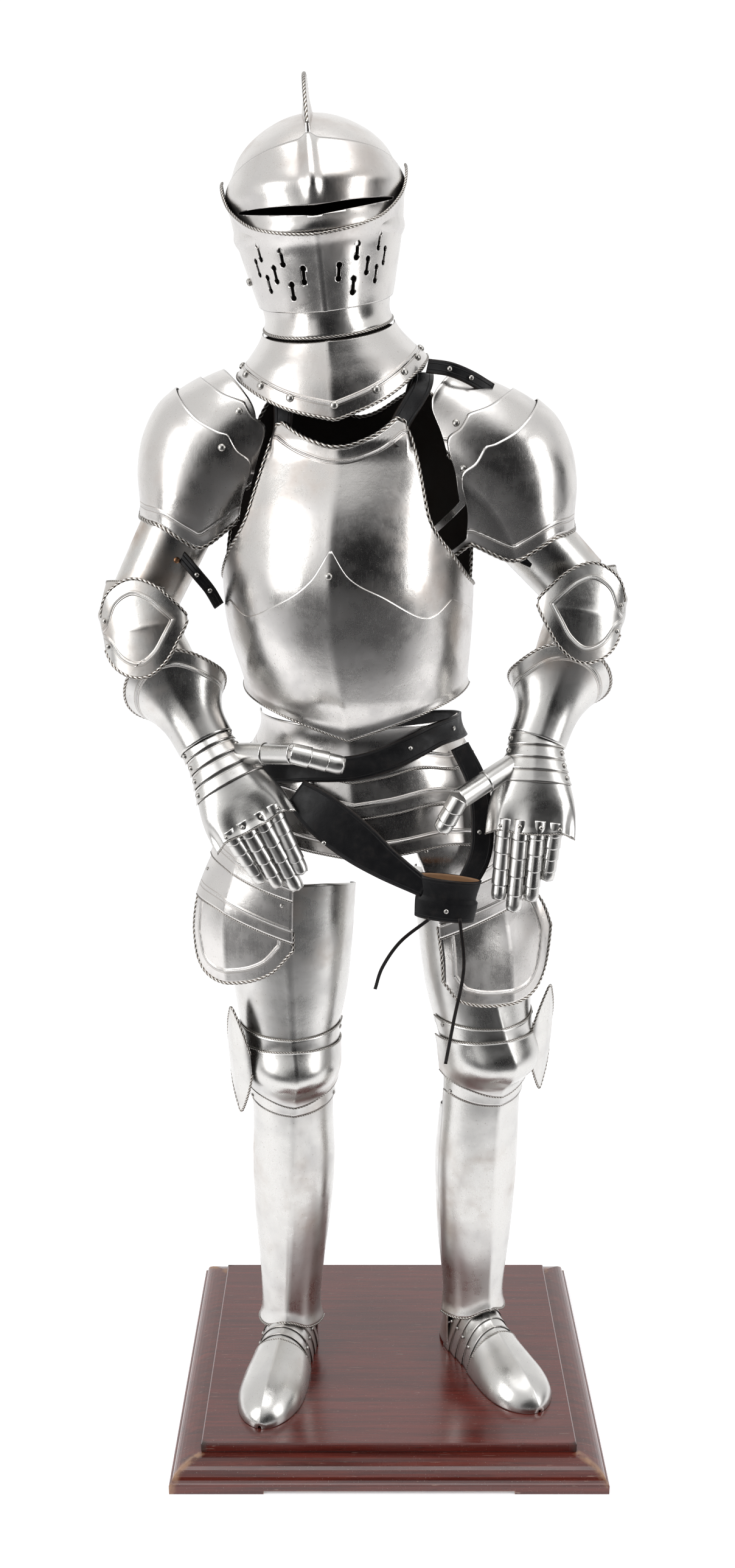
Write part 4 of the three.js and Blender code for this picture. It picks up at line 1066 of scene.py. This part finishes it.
ROPES.setdefault(("helm", 2.6), []).append(crest)


def cutter_mesh(*shape, **details):
    """One closed plate used as a cutter."""
    holder = Piece("visor")
    plate(holder, *shape, **details)
    return holder.mesh("cutters")


def visor_relief(a, h, v):
    """A rounded rib down the middle, and a lip that bulges under the eye slit."""
    rib = 7.5 * np.exp(-(a / 4.6) ** 2) * np.clip((h - 146) / 22.0, 0, 1)
    lip = 5.0 * np.exp(-((h - 124) / 12.0) ** 2)
    brow = 4.0 * np.exp(-((h - 176) / 14.0) ** 2)
    return rib + lip + brow


piece = Piece("visor", HELM_STEEL)
plate(piece, HELM, -88, 88, both((88, 112), (50, 104), (0, 92)),
      [(-88, 170), (-72, 192), (-50, 209), (-25, 221), (0, 227), (25, 222), (50, 213), (72, 200), (88, 182)],
      lift=LAYER + 0.6, relief=visor_relief, grid=2.6)
piece.build(cutter_mesh(HELM, -62, 62, both((62, 152), (30, 143), (0, 136, 1)),
                        both((62, 154.5), (30, 152), (0, 148, 1)),
                        lift=18, wall=30, grid=3))

SLOTS = table(("angle", "height", "turn"), [
    (-46, 104, 0), (-27, 94, 0), (-53, 87, 0), (-36, 76, 0), (-13, 71, 0), (-45, 66, 0), (-24, 54, 0),
    (46, 104, 0), (27, 94, 0), (53, 87, 0), (36, 76, 0), (13, 71, 0), (45, 66, 0), (24, 54, 0),
])
SLOT_LENGTH = 24
SLOT_HALF = 2.3
SLOT_END = 3.9


def slot_mesh():
    """Bone-shaped cutters: a narrow bar with a round hole at each end."""
    points, faces = [], []
    for row in SLOTS:
        inner = HELM.lifted(row["angle"], row["height"], -8.0)
        outer = HELM.lifted(row["angle"], row["height"], 16.0)
        place = frame_from(inner, outer - inner, (0, 0, 1))
        shape = []
        reach = SLOT_LENGTH / 2 - SLOT_END
        start = math.asin(SLOT_HALF / SLOT_END)
        for sign in (1, -1):
            for t in np.linspace(start, 2 * math.pi - start, 12):
                shape.append((math.sin(t) * SLOT_END * sign, -sign * (reach - SLOT_END * math.cos(t))))
        n = len(points)
        count = len(shape)
        for depth in (0.0, 26.0):
            for x, y in shape:
                p = place @ np.array([x, y, depth, 1.0])
                points.append(tuple(p[:3] * MM))
        faces.append(tuple(n + i for i in range(count)))
        faces.append(tuple(n + count + i for i in range(count))[::-1])
        for i in range(count):
            k = (i + 1) % count
            faces.append((n + k, n + i, n + count + i, n + count + k))
    return new_mesh("slots", points, faces)


plated("bevor", HELM_STEEL,
       HELM, -90, 90, both((90, 44), (50, 32), (0, 26)),
       both((90, 194), (80, 186), (64, 158), (40, 131), (0, 117)),
       lift=2 * LAYER + 0.6, flare=[(0, 0), (0.7, 0), (0.85, 2), (1, 8)],
       relief=lambda a, h, v: 4.0 * np.exp(-np.abs(a) / 5.0)
       - 1.5 * np.clip((np.abs(a) - 40) / 50, 0, 1) * np.clip((v - 0.6) / 0.4, 0, 1),
       roped=("top",), rope=1.9, grid=2.8, cutters=slot_mesh())
rivet("bevor", HELM, -80, 74, 2 * LAYER + 2.2, 5.2)
plated("helm_neck_lame", HELM_STEEL,
       HELM, -180, 180, turning_edge(103, 88, 3.0),
       both((180, 60), (90, 52), (0, 38)), lift=LAYER - 0.1, closed=True,
       flare=[(0, 2.0), (0.25, 0.4), (0.5, 0), (1, 0)], roped=("bottom",), rope=1.8)

# Shoulders and pauldrons.

SHOULDER_STRAPS = table(("side", "front", "over", "back"), [
    ("right", -31, [(-138, -58, 1486), (-142, -6, 1500), (-136, 52, 1486)], 212),
    ("left", 31, [(38, -70, 1492), (42, -14, 1508), (36, 44, 1492)], 148),
])
# Short buckled straps: at the inside of each upper arm and over the left shoulder.
BUCKLED_STRAPS = table(("side", "wide", "across", "points"), [
    ("right", 15, (0.6, 0, 0.8),
     [(-278, -42, 1276), (-256, -52, 1252), (-240, -44, 1230), (-230, -24, 1206)]),
    ("left", 15, (0.3, 0, 0.95), [(128, -28, 1291), (148, -46, 1285), (168, -54, 1277), (188, -54, 1268)]),
    ("left", 18, (0.3, 0.2, 0.9), [(46, -64, 1520), (74, -73, 1516), (102, -68, 1505), (130, -54, 1489)]),
])


def tangent(angle):
    """The direction along a shoulder at an angle around the trunk."""
    c = math.cos(math.radians(angle))
    return (abs(c), math.copysign(1, c) * math.sin(math.radians(angle)), 0)


for row in SHOULDER_STRAPS:
    front, back = row["front"], row["back"]
    points = [TORSO.lifted(front, 1420, 0.3), TORSO.lifted(front, 1446, 0.5), *row["over"],
              TORSO.lifted(back, 1456, -1.0), TORSO.lifted(back, 1430, -1.4)]
    across = [tangent(front), tangent(front), tangent(front / 2), (1, 0, 0),
              tangent((back + 180) / 2), tangent(back), tangent(back)]
    piece = Piece(f"shoulder_strap_{row['side']}", BLACK_LEATHER, BLACK_LEATHER, "dark_leather")
    strap(piece, points, across, 26, LEATHER)
    for buckled in BUCKLED_STRAPS:
        if buckled["side"] == row["side"]:
            strap(piece, buckled["points"], buckled["across"], buckled["wide"], LEATHER)
            for stud in buckled["points"][1:3]:
                RIVETS.setdefault(("suit", "steel"), []).append(
                    (np.array(stud, float) + (0, -LEATHER, 0), np.array((0.0, -1.0, 0.0)), 3.4))
    piece.build()

SHOULDERS = table(("side", "origin", "out", "reach"), [
    ("right", (-240, 8, 1396), -1, -34),
    ("left", (150, -14, 1382), 1, 8),
])
PAULDRON_COLUMNS = ("height", "cx", "half", "front", "back")
PAULDRON_ROWS = [
    (-120, 60, 58, 62, 62), (-100, 48, 70, 72, 70), (-76, 32, 84, 80, 80), (-42, 12, 91, 88, 88),
    (0, 0, 95, 92, 92), (40, 0, 92, 92, 92), (80, 0, 82, 86, 84), (110, 0, 70, 76, 74),
    (135, 0, 60, 68, 66),
]
PAULDRON_PLATES = table(("name", "start", "end", "lift", "bottom", "top"), [
    ("main", -165, 50, 2 * LAYER + 0.9,
     [(-165, -40), (-130, -80), (-90, -112), (-50, -108), (-20, -95), (10, -86), (26, -79),
      (40, -54), (50, -24)],
     [(-165, 25), (-90, 30), (-33, 31), (-12, 42), (-5, 50, 1), (8, 45), (24, 46), (38, 10), (50, -16)]),
    ("middle", -165, 38, LAYER,
     [(-165, 5), (-90, 12), (-33, 14), (-5, 28), (24, 24), (38, 18)],
     [(-165, 60), (-90, 64), (-40, 76), (-18, 92, 1), (-4, 88), (13, 89), (28, 50), (38, 26)]),
    ("top", -150, 22, -0.8,
     [(-150, 46), (-90, 48), (-18, 72), (13, 68), (22, 60)],
     [(-150, 116), (-90, 128), (-30, 134), (0, 124), (13, 92), (22, 70)]),
])
for shoulder in SHOULDERS:
    out = shoulder["out"]
    skin = Skin(frame_from(shoulder["origin"], (-0.75 * out, 0, 0.66), (0, -1, 0)), PAULDRON_COLUMNS,
                [(r[0], -out * r[1], *r[2:]) for r in PAULDRON_ROWS])

    def spread(a, h, v):
        """The left shoulder's front edge is turned forward over the breast."""
        toward = -a * out - 26 if out > 0 else a * 0 - 1
        return np.clip(toward, 0, 60) * 0.75

    for row in PAULDRON_PLATES:
        shift = shoulder["reach"] if row["name"] == "top" else 0
        piece = Piece(f"pauldron_{row['name']}_{shoulder['side']}")
        main = row["name"] == "main"
        wider = 42 if out > 0 and row["name"] != "top" else 0
        inner = "right" if out < 0 else "left"
        plate(piece, skin, row["start"] if out < 0 else -row["end"] - wider,
              row["end"] if out < 0 else -row["start"], mirrored(row["bottom"], out),
              mirrored([(p[0], p[1] + shift, *p[2:]) for p in row["top"]], out), lift=row["lift"],
              border=("bottom", inner) if main else (inner,), relief=spread,
              roped=("bottom", inner) if main else (inner,), rope=2.7 if main else 2.2,
              flare=[(0, 1.5), (0.08, 0.2), (0.9, 0), (1, 1.2)] if main else 0.0)
        piece.build()

# Arms.

ARMS = table(("side", "shoulder", "elbow", "wrist", "knuckle", "wing", "out"), [
    ("right", (-254, 6, 1372), (-344, -8, 1190), (-243, -84, 1022), (-183, -140, 934),
     (-322, -70, 1184), -1),
    ("left", (170, -14, 1318), (268, -10, 1216), (196, -80, 1026), (187, -126, 926),
     (247, -78, 1206), 1),
])
UPPER_ROWS = [(-10, 45, 45, 46), (60, 47.2, 46.6, 47.2), (150, 49, 48.5, 49), (200, 49, 48.5, 49)]
LOWER_ROWS = [(-20, 37, 33, 32), (20, 37, 33, 32), (60, 39, 36, 36), (120, 43, 41, 42),
              (180, 45, 44, 45), (240, 44, 44, 46)]
ELBOW_ROWS = [(-46, 60, 50, 46), (-24, 61, 62, 52), (0, 60, 64, 58), (24, 58, 60, 54),
              (46, 56, 54, 50)]
WING_ROWS = both((70, 62, 20, 10), (30, 62, 26, 10), (0, 62, 29, 10))
HAND_ROWS = [(-4, 58, 21, 8), (30, 57, 27, 12), (64, 48, 30, 18), (90, 40, 31, 24),
             (110, 36.3, 31.3, 30), (140, 36.3, 31.3, 30)]
FINGER_ROWS = [(0, 6.5, 6, 5), (8, 8.5, 8, 6), (40, 9.5, 9, 7), (100, 11, 10.5, 8)]
FINGERS = table(("side", "name", "across", "up", "depth", "tip"), [
    ("right", "index", 33, 4, 10, (-116, -158, 871)),
    ("right", "middle", 12, 4, 10, (-122, -158, 849)),
    ("right", "ring", -10, 4, 10, (-146, -154, 852)),
    ("right", "little", -32, 4, 10, (-170, -146, 856)),
    ("left", "index", -33, 4, 10, (144, -150, 832)),
    ("left", "middle", -12, 4, 10, (164, -152, 816)),
    ("left", "ring", 10, 4, 10, (187, -150, 830)),
    ("left", "little", 32, 4, 10, (209, -140, 856)),
])
THUMBS = table(("side", "across", "up", "depth", "bend", "tip"), [
    ("right", 30, 92, 12, (-124, -168, 1036), (-60, -176, 1022)),
    ("left", -30, 80, 12, (88, -160, 972), (66, -160, 930)),
])
FINGER_LAMES = 5


def under(place, rows, row):
    """A point under a plate's outer face, at an offset across the frame."""
    knots = [r[0] for r in rows]
    half_width = float(smooth(knots, [r[1] for r in rows], np.array(float(row["up"]))))
    front = float(smooth(knots, [r[2] for r in rows], np.array(float(row["up"]))))
    y = -front * math.sqrt(1 - (row["across"] / half_width) ** 2) + row["depth"]
    return (place @ np.array([row["across"], y, row["up"], 1.0]))[:3]


def lamed_digit(piece, path, hint, lift, scale, lames):
    """A finger or thumb of short scales from tip to root, each lapping the next one."""
    for k, count in enumerate(lames):
        tip, root = path[k], path[k + 1]
        reach = float(np.linalg.norm(np.array(root) - np.array(tip)))
        rows = FINGER_ROWS if k == 0 else [(0, *FINGER_ROWS[2][1:]), (100, *FINGER_ROWS[3][1:])]
        rows = [(row[0], row[1] * scale, row[2] * scale, row[3] * scale) for row in rows]
        skin = Skin(frame_along(tip, tuple(root), hint), RING, rows)
        steps = np.linspace(0, reach + 3, count + 1)
        for m in range(count):
            low = steps[m] - (0 if m == 0 else 4)
            plate(piece, skin, -104, 104,
                  both((104, low + 4), (50, low + 2), (0, low)),
                  both((104, steps[m + 1]), (0, steps[m + 1] + 1)),
                  lift=lift - 0.2, wall=0.9, grid=2.0,
                  flare=[(0, 1.3), (0.3, 0.9), (1, 0)], relief=ridge(24, 0.7))
        if k == 0:
            rim = skin.lifted(np.linspace(-104, 104, 13), np.full(13, 1.0), np.full(13, lift + 1.2))
            centre = skin.lifted(0.0, -2.0, lift - 5.0)
            cap = np.concatenate([rim, [centre]])
            behind = cap + skin.place[:3, 2] * 1.2
            faces = [(i, 13, i + 1) for i in range(12)] + [(i + 15, 27, i + 14) for i in range(12)]
            faces += [(i, i + 1, i + 15, i + 14) for i in range(12)]
            faces += [(13, 0, 14, 27), (12, 13, 27, 26)]
            piece.add(np.concatenate([cap, behind]), faces, [0] * len(faces), [False] * len(faces))


for row in ARMS:
    side, out = row["side"], row["out"]
    shoulder, elbow, wrist, knuckle = (row[k] for k in ("shoulder", "elbow", "wrist", "knuckle"))
    upper = Skin(frame_along(elbow, shoulder, (0, -1, 0)), RING, UPPER_ROWS)
    lower = Skin(frame_along(wrist, elbow, (0, -1, 0.3)), RING, LOWER_ROWS)
    plated(f"rerebrace_{side}", LIMB_STEEL,
           upper, -200 if out < 0 else -80, 80 if out < 0 else 200, 26,
           150 if out < 0 else 118, roped=("bottom",), rope=1.2)
    plated(f"vambrace_{side}", LIMB_STEEL,
           lower, -180, 180, 34, 172, closed=True, relief=ridge(10, 2.0))
    elbow_low = [e + (w - e) * 0.2 for e, w in zip(elbow, wrist)]
    elbow_high = [e + (s - e) * 0.2 for e, s in zip(elbow, shoulder)]
    middle = [(a + b) / 2 for a, b in zip(elbow_low, elbow_high)]
    along = [b - a for a, b in zip(elbow_low, elbow_high)]
    bend = Skin(frame_from(middle, along, (out * 0.9, -0.42, 0)), RING, ELBOW_ROWS)
    piece = Piece(f"couter_{side}", LIMB_STEEL)
    plate(piece, bend, -92, 92, both((92, -30), (0, -44)), both((92, 30), (0, 44)),
          lift=LAYER, grid=3.2, roped=("bottom", "top"), rope=1.5,
          relief=lambda a, h, v: 3.5 * np.exp(-(h / 7.0) ** 2) + 2.5 * np.exp(-np.abs(a) / 10))

    wing = Skin(frame_from(row["wing"], (out * 0.14, 0.2, 1), (out * 0.15, -1, 0)), RING, WING_ROWS)
    plate(piece, wing, -72, 72,
          mirrored([(-72, -22), (-50, -46), (-22, -63), (0, -64), (25, -48), (48, -22), (72, 2)], out),
          mirrored([(-72, 22), (-50, 46), (-22, 62), (0, 64), (25, 50), (48, 28), (72, 8)], out),
          border=("bottom", "top"), roped=("bottom", "top"), rope=2.4, grid=2.6,
          relief=lambda a, h, v: 1.6 * np.exp(-np.abs(h) / 4.0) * np.clip(1 - np.abs(a) / 40, 0, 1))
    piece.build()
    for height in (-18, 16):
        rivet("suit", wing, out * 58, height, 1.0, 3.8)
    plated(f"gauntlet_cuff_{side}", LIMB_STEEL,
           lower, -132, 132, 8,
           mirrored([(-132, 84), (-90, 104), (-30, 132), (20, 128), (70, 92), (132, 72)], out),
           lift=LAYER, flare=[(0, 0), (0.4, 1), (0.7, 9), (1, 24)], border=("top",),
           roped=("top",), rope=2.4, grid=3.2, relief=ridge(9, 1.5))
    place = frame_along(knuckle, wrist, (-out * 0.1, -0.9, 0.3))
    hand = Skin(place, RING, HAND_ROWS)
    piece = Piece(f"gauntlet_hand_{side}", LIMB_STEEL)
    plate(piece, hand, -88, 88, both((88, -14), (45, -10), (0, -14)), 62, wall=1.2,
          grid=2.6, relief=lambda a, h, v: 2.0 * np.cos(np.radians(a * 8)) * np.clip(1 - h / 30, 0, 1),
          roped=("bottom",), rope=1.2)
    tops = 134 if out < 0 else 124
    wrist_steps = np.linspace(58, tops, 5)
    for k in range(4):
        plate(piece, hand, -88, 88, both((88, wrist_steps[k]), (0, wrist_steps[k] - 3)),
              wrist_steps[k + 1] + 1, lift=0.3, wall=1.1, grid=2.8,
              flare=[(0, 1.8), (0.35, 0.9), (1, -0.3)], relief=ridge(10, 1.2), border=("bottom",))
        for angle in (-66, 66):
            rivet("suit", hand, angle, wrist_steps[k] + 8, 1.8, 3.8)
    for angle in (-42, -14, 14, 42):
        rivet("suit", hand, angle, -4, 1.8, 3.0)
    for finger in FINGERS:
        if finger["side"] == side:
            lamed_digit(piece, (finger["tip"], under(place, HAND_ROWS, finger)), (0, -1, 0.2), 0.0,
                        1.12, (FINGER_LAMES,))
    for thumb in THUMBS:
        if thumb["side"] == side:
            lamed_digit(piece, (thumb["tip"], thumb["bend"], under(place, HAND_ROWS, thumb)),
                        (0, -1, 0.3), 1.0, 1.25, (3, 2))
    piece.build()

# Rivets set by where they show from the front: node, across and up in mm, head radius.
SPOTS = table(("node", "x", "z", "radius"), [
    ("pauldron_middle_right", -194, 1464, 5.0), ("pauldron_main_right", -216, 1419, 5.0),
    ("pauldron_top_left", 82, 1450, 5.0), ("pauldron_middle_left", 92, 1393, 5.0),
    ("plackart", -79, 1266, 5.0), ("sword_frog", -88, 910, 3.4), ("sword_frog", 120, 915, 3.4),
    ("sword_frog", 74, 821, 3.6), ("rerebrace_right", -283, 1270, 4.4),
    ("gauntlet_cuff_right", -205, 1066, 3.6), ("gauntlet_cuff_right", -196, 1052, 3.6),
])
for spot in SPOTS:
    rivet_on(FORMS[spot["node"]], spot["x"], spot["z"], spot["radius"],
             "copper" if spot["node"] == "rerebrace_right" else "steel")

# Roped edges and rivets.


def group(name, inputs):
    """An empty geometry tree with named inputs and one geometry output."""
    tree = bpy.data.node_groups.new(name, "GeometryNodeTree")
    tree.interface.new_socket("Geometry", in_out="INPUT", socket_type="NodeSocketGeometry")
    for label, kind in inputs:
        tree.interface.new_socket(label, in_out="INPUT", socket_type=kind)
    tree.interface.new_socket("Geometry", in_out="OUTPUT", socket_type="NodeSocketGeometry")
    source = tree.nodes.new("NodeGroupInput")
    return tree, source, Tree(tree)


def end_tree(build, geometry, material):
    realized = build.node("GeometryNodeRealizeInstances", Geometry=geometry)
    painted = build.node("GeometryNodeSetMaterial", Geometry=realized.outputs[0], Material=material)
    output = build.tree.nodes.new("NodeGroupOutput")
    build.tree.links.new(painted.outputs[0], output.inputs[0])


def rope_tree():
    """Paths become tubes with a lobed section that twists along them."""
    tree, source, build = group("roped_edge", [
        ("Radius", "NodeSocketFloat"), ("Pitch", "NodeSocketFloat"), ("Step", "NodeSocketFloat"),
        ("Material", "NodeSocketMaterial"),
    ])
    radius = Value(tree, source.outputs["Radius"])
    pitch = Value(tree, source.outputs["Pitch"])
    curve = build.node("GeometryNodeMeshToCurve", Mesh=source.outputs["Geometry"])
    even = build.node("GeometryNodeResampleCurve", {"mode": "LENGTH"}, Curve=curve.outputs[0],
                      Length=source.outputs["Step"])
    length = build.value("GeometryNodeSplineParameter", "Length")
    tilted = build.node("GeometryNodeSetCurveTilt", Curve=even.outputs[0],
                        Tilt=length / pitch * (2 * math.pi))
    circle = build.node("GeometryNodeCurvePrimitiveCircle", Resolution=12)
    put(tree, next(s for s in circle.inputs if s.name == "Radius"), radius)
    index = build.value("GeometryNodeInputIndex", "Index")
    crest = (index * math.pi * 0.5).math("COSINE") * 0.5 + 0.5
    lobe = crest * 0.3 + 0.78
    spot = build.node("GeometryNodeInputPosition")
    scaled = tree.nodes.new("ShaderNodeVectorMath")
    scaled.operation = "SCALE"
    tree.links.new(spot.outputs[0], scaled.inputs[0])
    put(tree, scaled.inputs["Scale"], lobe)
    shaped = build.node("GeometryNodeSetPosition", Geometry=circle.outputs[0],
                        Position=scaled.outputs[0])
    # The stored crest value drives the rope material's painted shade in the cuts.
    marked = build.node("GeometryNodeStoreNamedAttribute", {"data_type": "FLOAT", "domain": "POINT"},
                        Geometry=shaped.outputs[0], Name="crest", Value=crest)
    tube = build.node("GeometryNodeCurveToMesh", Curve=tilted.outputs[0],
                      Profile_Curve=marked.outputs[0], Fill_Caps=True)
    shaded = build.node("GeometryNodeSetShadeSmooth", Geometry=tube.outputs[0])
    end_tree(build, shaded.outputs[0], source.outputs["Material"])
    return tree


def rivet_tree():
    """A domed head on every point, along its stored direction and at its stored size."""
    tree, source, build = group("rivet_heads", [("Material", "NodeSocketMaterial")])
    dome = build.node("GeometryNodeMeshUVSphere", Segments=14, Rings=8, Radius=1.0)
    low = build.node("GeometryNodeTransform", Geometry=dome.outputs[0], Scale=(1.0, 1.0, 0.62))
    aim = build.value("GeometryNodeInputNamedAttribute", "Attribute", {"data_type": "FLOAT_VECTOR"},
                      Name="aim")
    size = build.value("GeometryNodeInputNamedAttribute", "Attribute", {"data_type": "FLOAT"},
                       Name="size")
    turn = build.value("FunctionNodeAlignRotationToVector", "Rotation", {"axis": "Z"}, Vector=aim)
    dots = build.node("GeometryNodeInstanceOnPoints", Points=source.outputs["Geometry"],
                      Instance=low.outputs[0], Rotation=turn, Scale=size)
    shaded = build.node("GeometryNodeRealizeInstances", Geometry=dots.outputs[0])
    smooth_node = build.node("GeometryNodeSetShadeSmooth", Geometry=shaded.outputs[0])
    end_tree(build, smooth_node.outputs[0], source.outputs["Material"])
    return tree


def grown(name, data, tree, values, body):
    """Runs a tree on a mesh and keeps the plain result as a piece on a body."""
    obj = add_object(name, data)
    modifier = obj.modifiers.new("grow", "NODES")
    modifier.node_group = tree
    for item in tree.interface.items_tree:
        if item.in_out == "INPUT" and item.name in values:
            modifier[item.identifier] = values[item.name]
    settle(obj)
    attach(obj, body)


ROPE_TREE = rope_tree()
for (body, radius), paths in sorted(ROPES.items()):
    points, edges = [], []
    for path in paths:
        start = len(points)
        points += [tuple(p * MM) for p in path]
        edges += [(start + i, start + i + 1) for i in range(len(path) - 1)]
    data = new_mesh("edge_paths", points, edges=edges)
    grown(f"roped_edges_{body}_{int(radius * 10)}", data, ROPE_TREE,
          {"Radius": radius * MM, "Pitch": radius * 9.0 * MM, "Step": max(radius * 0.75, 1.4) * MM,
           "Material": ROPE}, body)

RIVET_TREE = rivet_tree()
RIVET_FINISH = {"steel": (RIVET_STEEL, "polished_steel"), "copper": (RIVET_COPPER, "copper")}
for (body, kind), rivets in sorted(RIVETS.items()):
    data = new_mesh("rivet_points", [tuple(p * MM) for p, _, _ in rivets])
    aim = data.attributes.new("aim", "FLOAT_VECTOR", "POINT")
    aim.data.foreach_set("vector", np.concatenate([n for _, n, _ in rivets]).astype(np.float32))
    size = data.attributes.new("size", "FLOAT", "POINT")
    size.data.foreach_set("value", [r * MM for _, _, r in rivets])
    material, slot_name = RIVET_FINISH[kind]
    grown(f"rivets_{body}_{kind}", data, RIVET_TREE, {"Material": material}, body)

# Stage, light, camera.


FLOOR_COLOUR = (0.93, 0.93, 0.94)
FLOOR_GLOW = 0.3


def stage_material(name, colour):
    """Bright under and behind the object, dark towards the room in front of it."""
    material, build, surface, place = new_material(name)
    parts = build.node("ShaderNodeSeparateXYZ", Vector=place)
    near = Value(build.tree, parts.outputs["Y"]).ramp(-0.5, -1.35) * 0.97
    paint(build, surface, Base_Color=build.blend(near, (*colour, 1), (0.02, 0.02, 0.022, 1)),
          Emission_Color=build.blend(near, (*colour, 1), (0.0, 0.0, 0.0, 1)))
    paint(build, surface, Emission_Strength=FLOOR_GLOW, Roughness=0.9)
    return material


def floor():
    """A wide pale floor that fades into the white surroundings."""
    corners = [(x, y, 0.0) for x, y in ((-9, -6), (9, -6), (9, 16), (-9, 16))]
    data = new_mesh("floor", corners, [(0, 1, 2, 3)])
    data.materials.append(stage_material("pale_floor", FLOOR_COLOUR))
    add_object("floor", data)


floor()


LIGHTS = table(("name", "place", "target", "size", "power"), [
    ("left_softbox", (-2.3, -1.5, 1.7), (-0.1, 0.0, 1.1), (1.1, 2.2), 34),
    ("right_softbox", (2.3, -1.2, 1.7), (0.0, 0.0, 1.1), (0.9, 2.2), 24),
    ("overhead", (0.0, -0.4, 3.6), (0.0, 0.2, 1.0), (2.2, 1.6), 22),
])
for row in LIGHTS:
    lamp = bpy.data.lights.new(row["name"], "AREA")
    lamp.shape = "RECTANGLE"
    lamp.size, lamp.size_y = row["size"]
    lamp.energy = row["power"]
    obj = add_object(row["name"], lamp)
    obj.location = row["place"]
    aim = Vector(row["target"]) - Vector(row["place"])
    obj.rotation_euler = aim.to_track_quat("-Z", "Y").to_euler()

SKY_STRENGTH = 0.84
SKY_WHITE = (1.0, 1.0, 1.0, 1)
SKY_BEHIND = (1.3, 1.3, 1.3, 1)
SKY_DARK = (0.004, 0.004, 0.005, 1)
world = bpy.data.worlds.new("studio")
bpy.context.scene.world = world
world.use_nodes = True
world_tree = Tree(world.node_tree)
world.node_tree.nodes.clear()
direction = world_tree.value("ShaderNodeTexCoord", "Generated")


def toward(x, y, z):
    """How nearly a direction points along x, y, z: one when it does."""
    return world_tree.vector("DOT_PRODUCT", direction, Vector((x, y, z)).normalized(), "Value")


dark_room = toward(0.42, -1.0, -0.05).ramp(0.6, 0.78)
dark_left = toward(-0.95, -0.6, 0.0).ramp(0.93, 0.97)
dark_right = toward(1.0, 0.05, 0.0).ramp(0.93, 0.97)
sky = world_tree.node("ShaderNodeBackground", Color=world_tree.blend(
    dark_room.math("MAXIMUM", dark_left).math("MAXIMUM", dark_right),
    world_tree.blend(toward(0, 1, 0).ramp(0.4, 0.7), SKY_WHITE, SKY_BEHIND), SKY_DARK))
sky.inputs["Strength"].default_value = SKY_STRENGTH
world_output = world_tree.node("ShaderNodeOutputWorld")
world.node_tree.links.new(sky.outputs[0], world_output.inputs[0])

bpy.context.scene.view_settings.view_transform = "Standard"
bpy.context.scene.view_settings.look = "None"

# The viewpoint: lens and sensor in mm, place in metres, tilt in degrees.
LENS = 37.19
SENSOR_WIDTH = 36.0
CAMERA_PLACE = (-0.030173, -2.194898, 1.540929)
CAMERA_TILT = 74.952
camera_data = bpy.data.cameras.new("camera")
camera_data.lens = LENS
camera_data.sensor_width = SENSOR_WIDTH
camera = add_object("camera", camera_data)
camera.location = CAMERA_PLACE
camera.rotation_euler = (math.radians(CAMERA_TILT), 0, 0)
bpy.context.scene.camera = camera
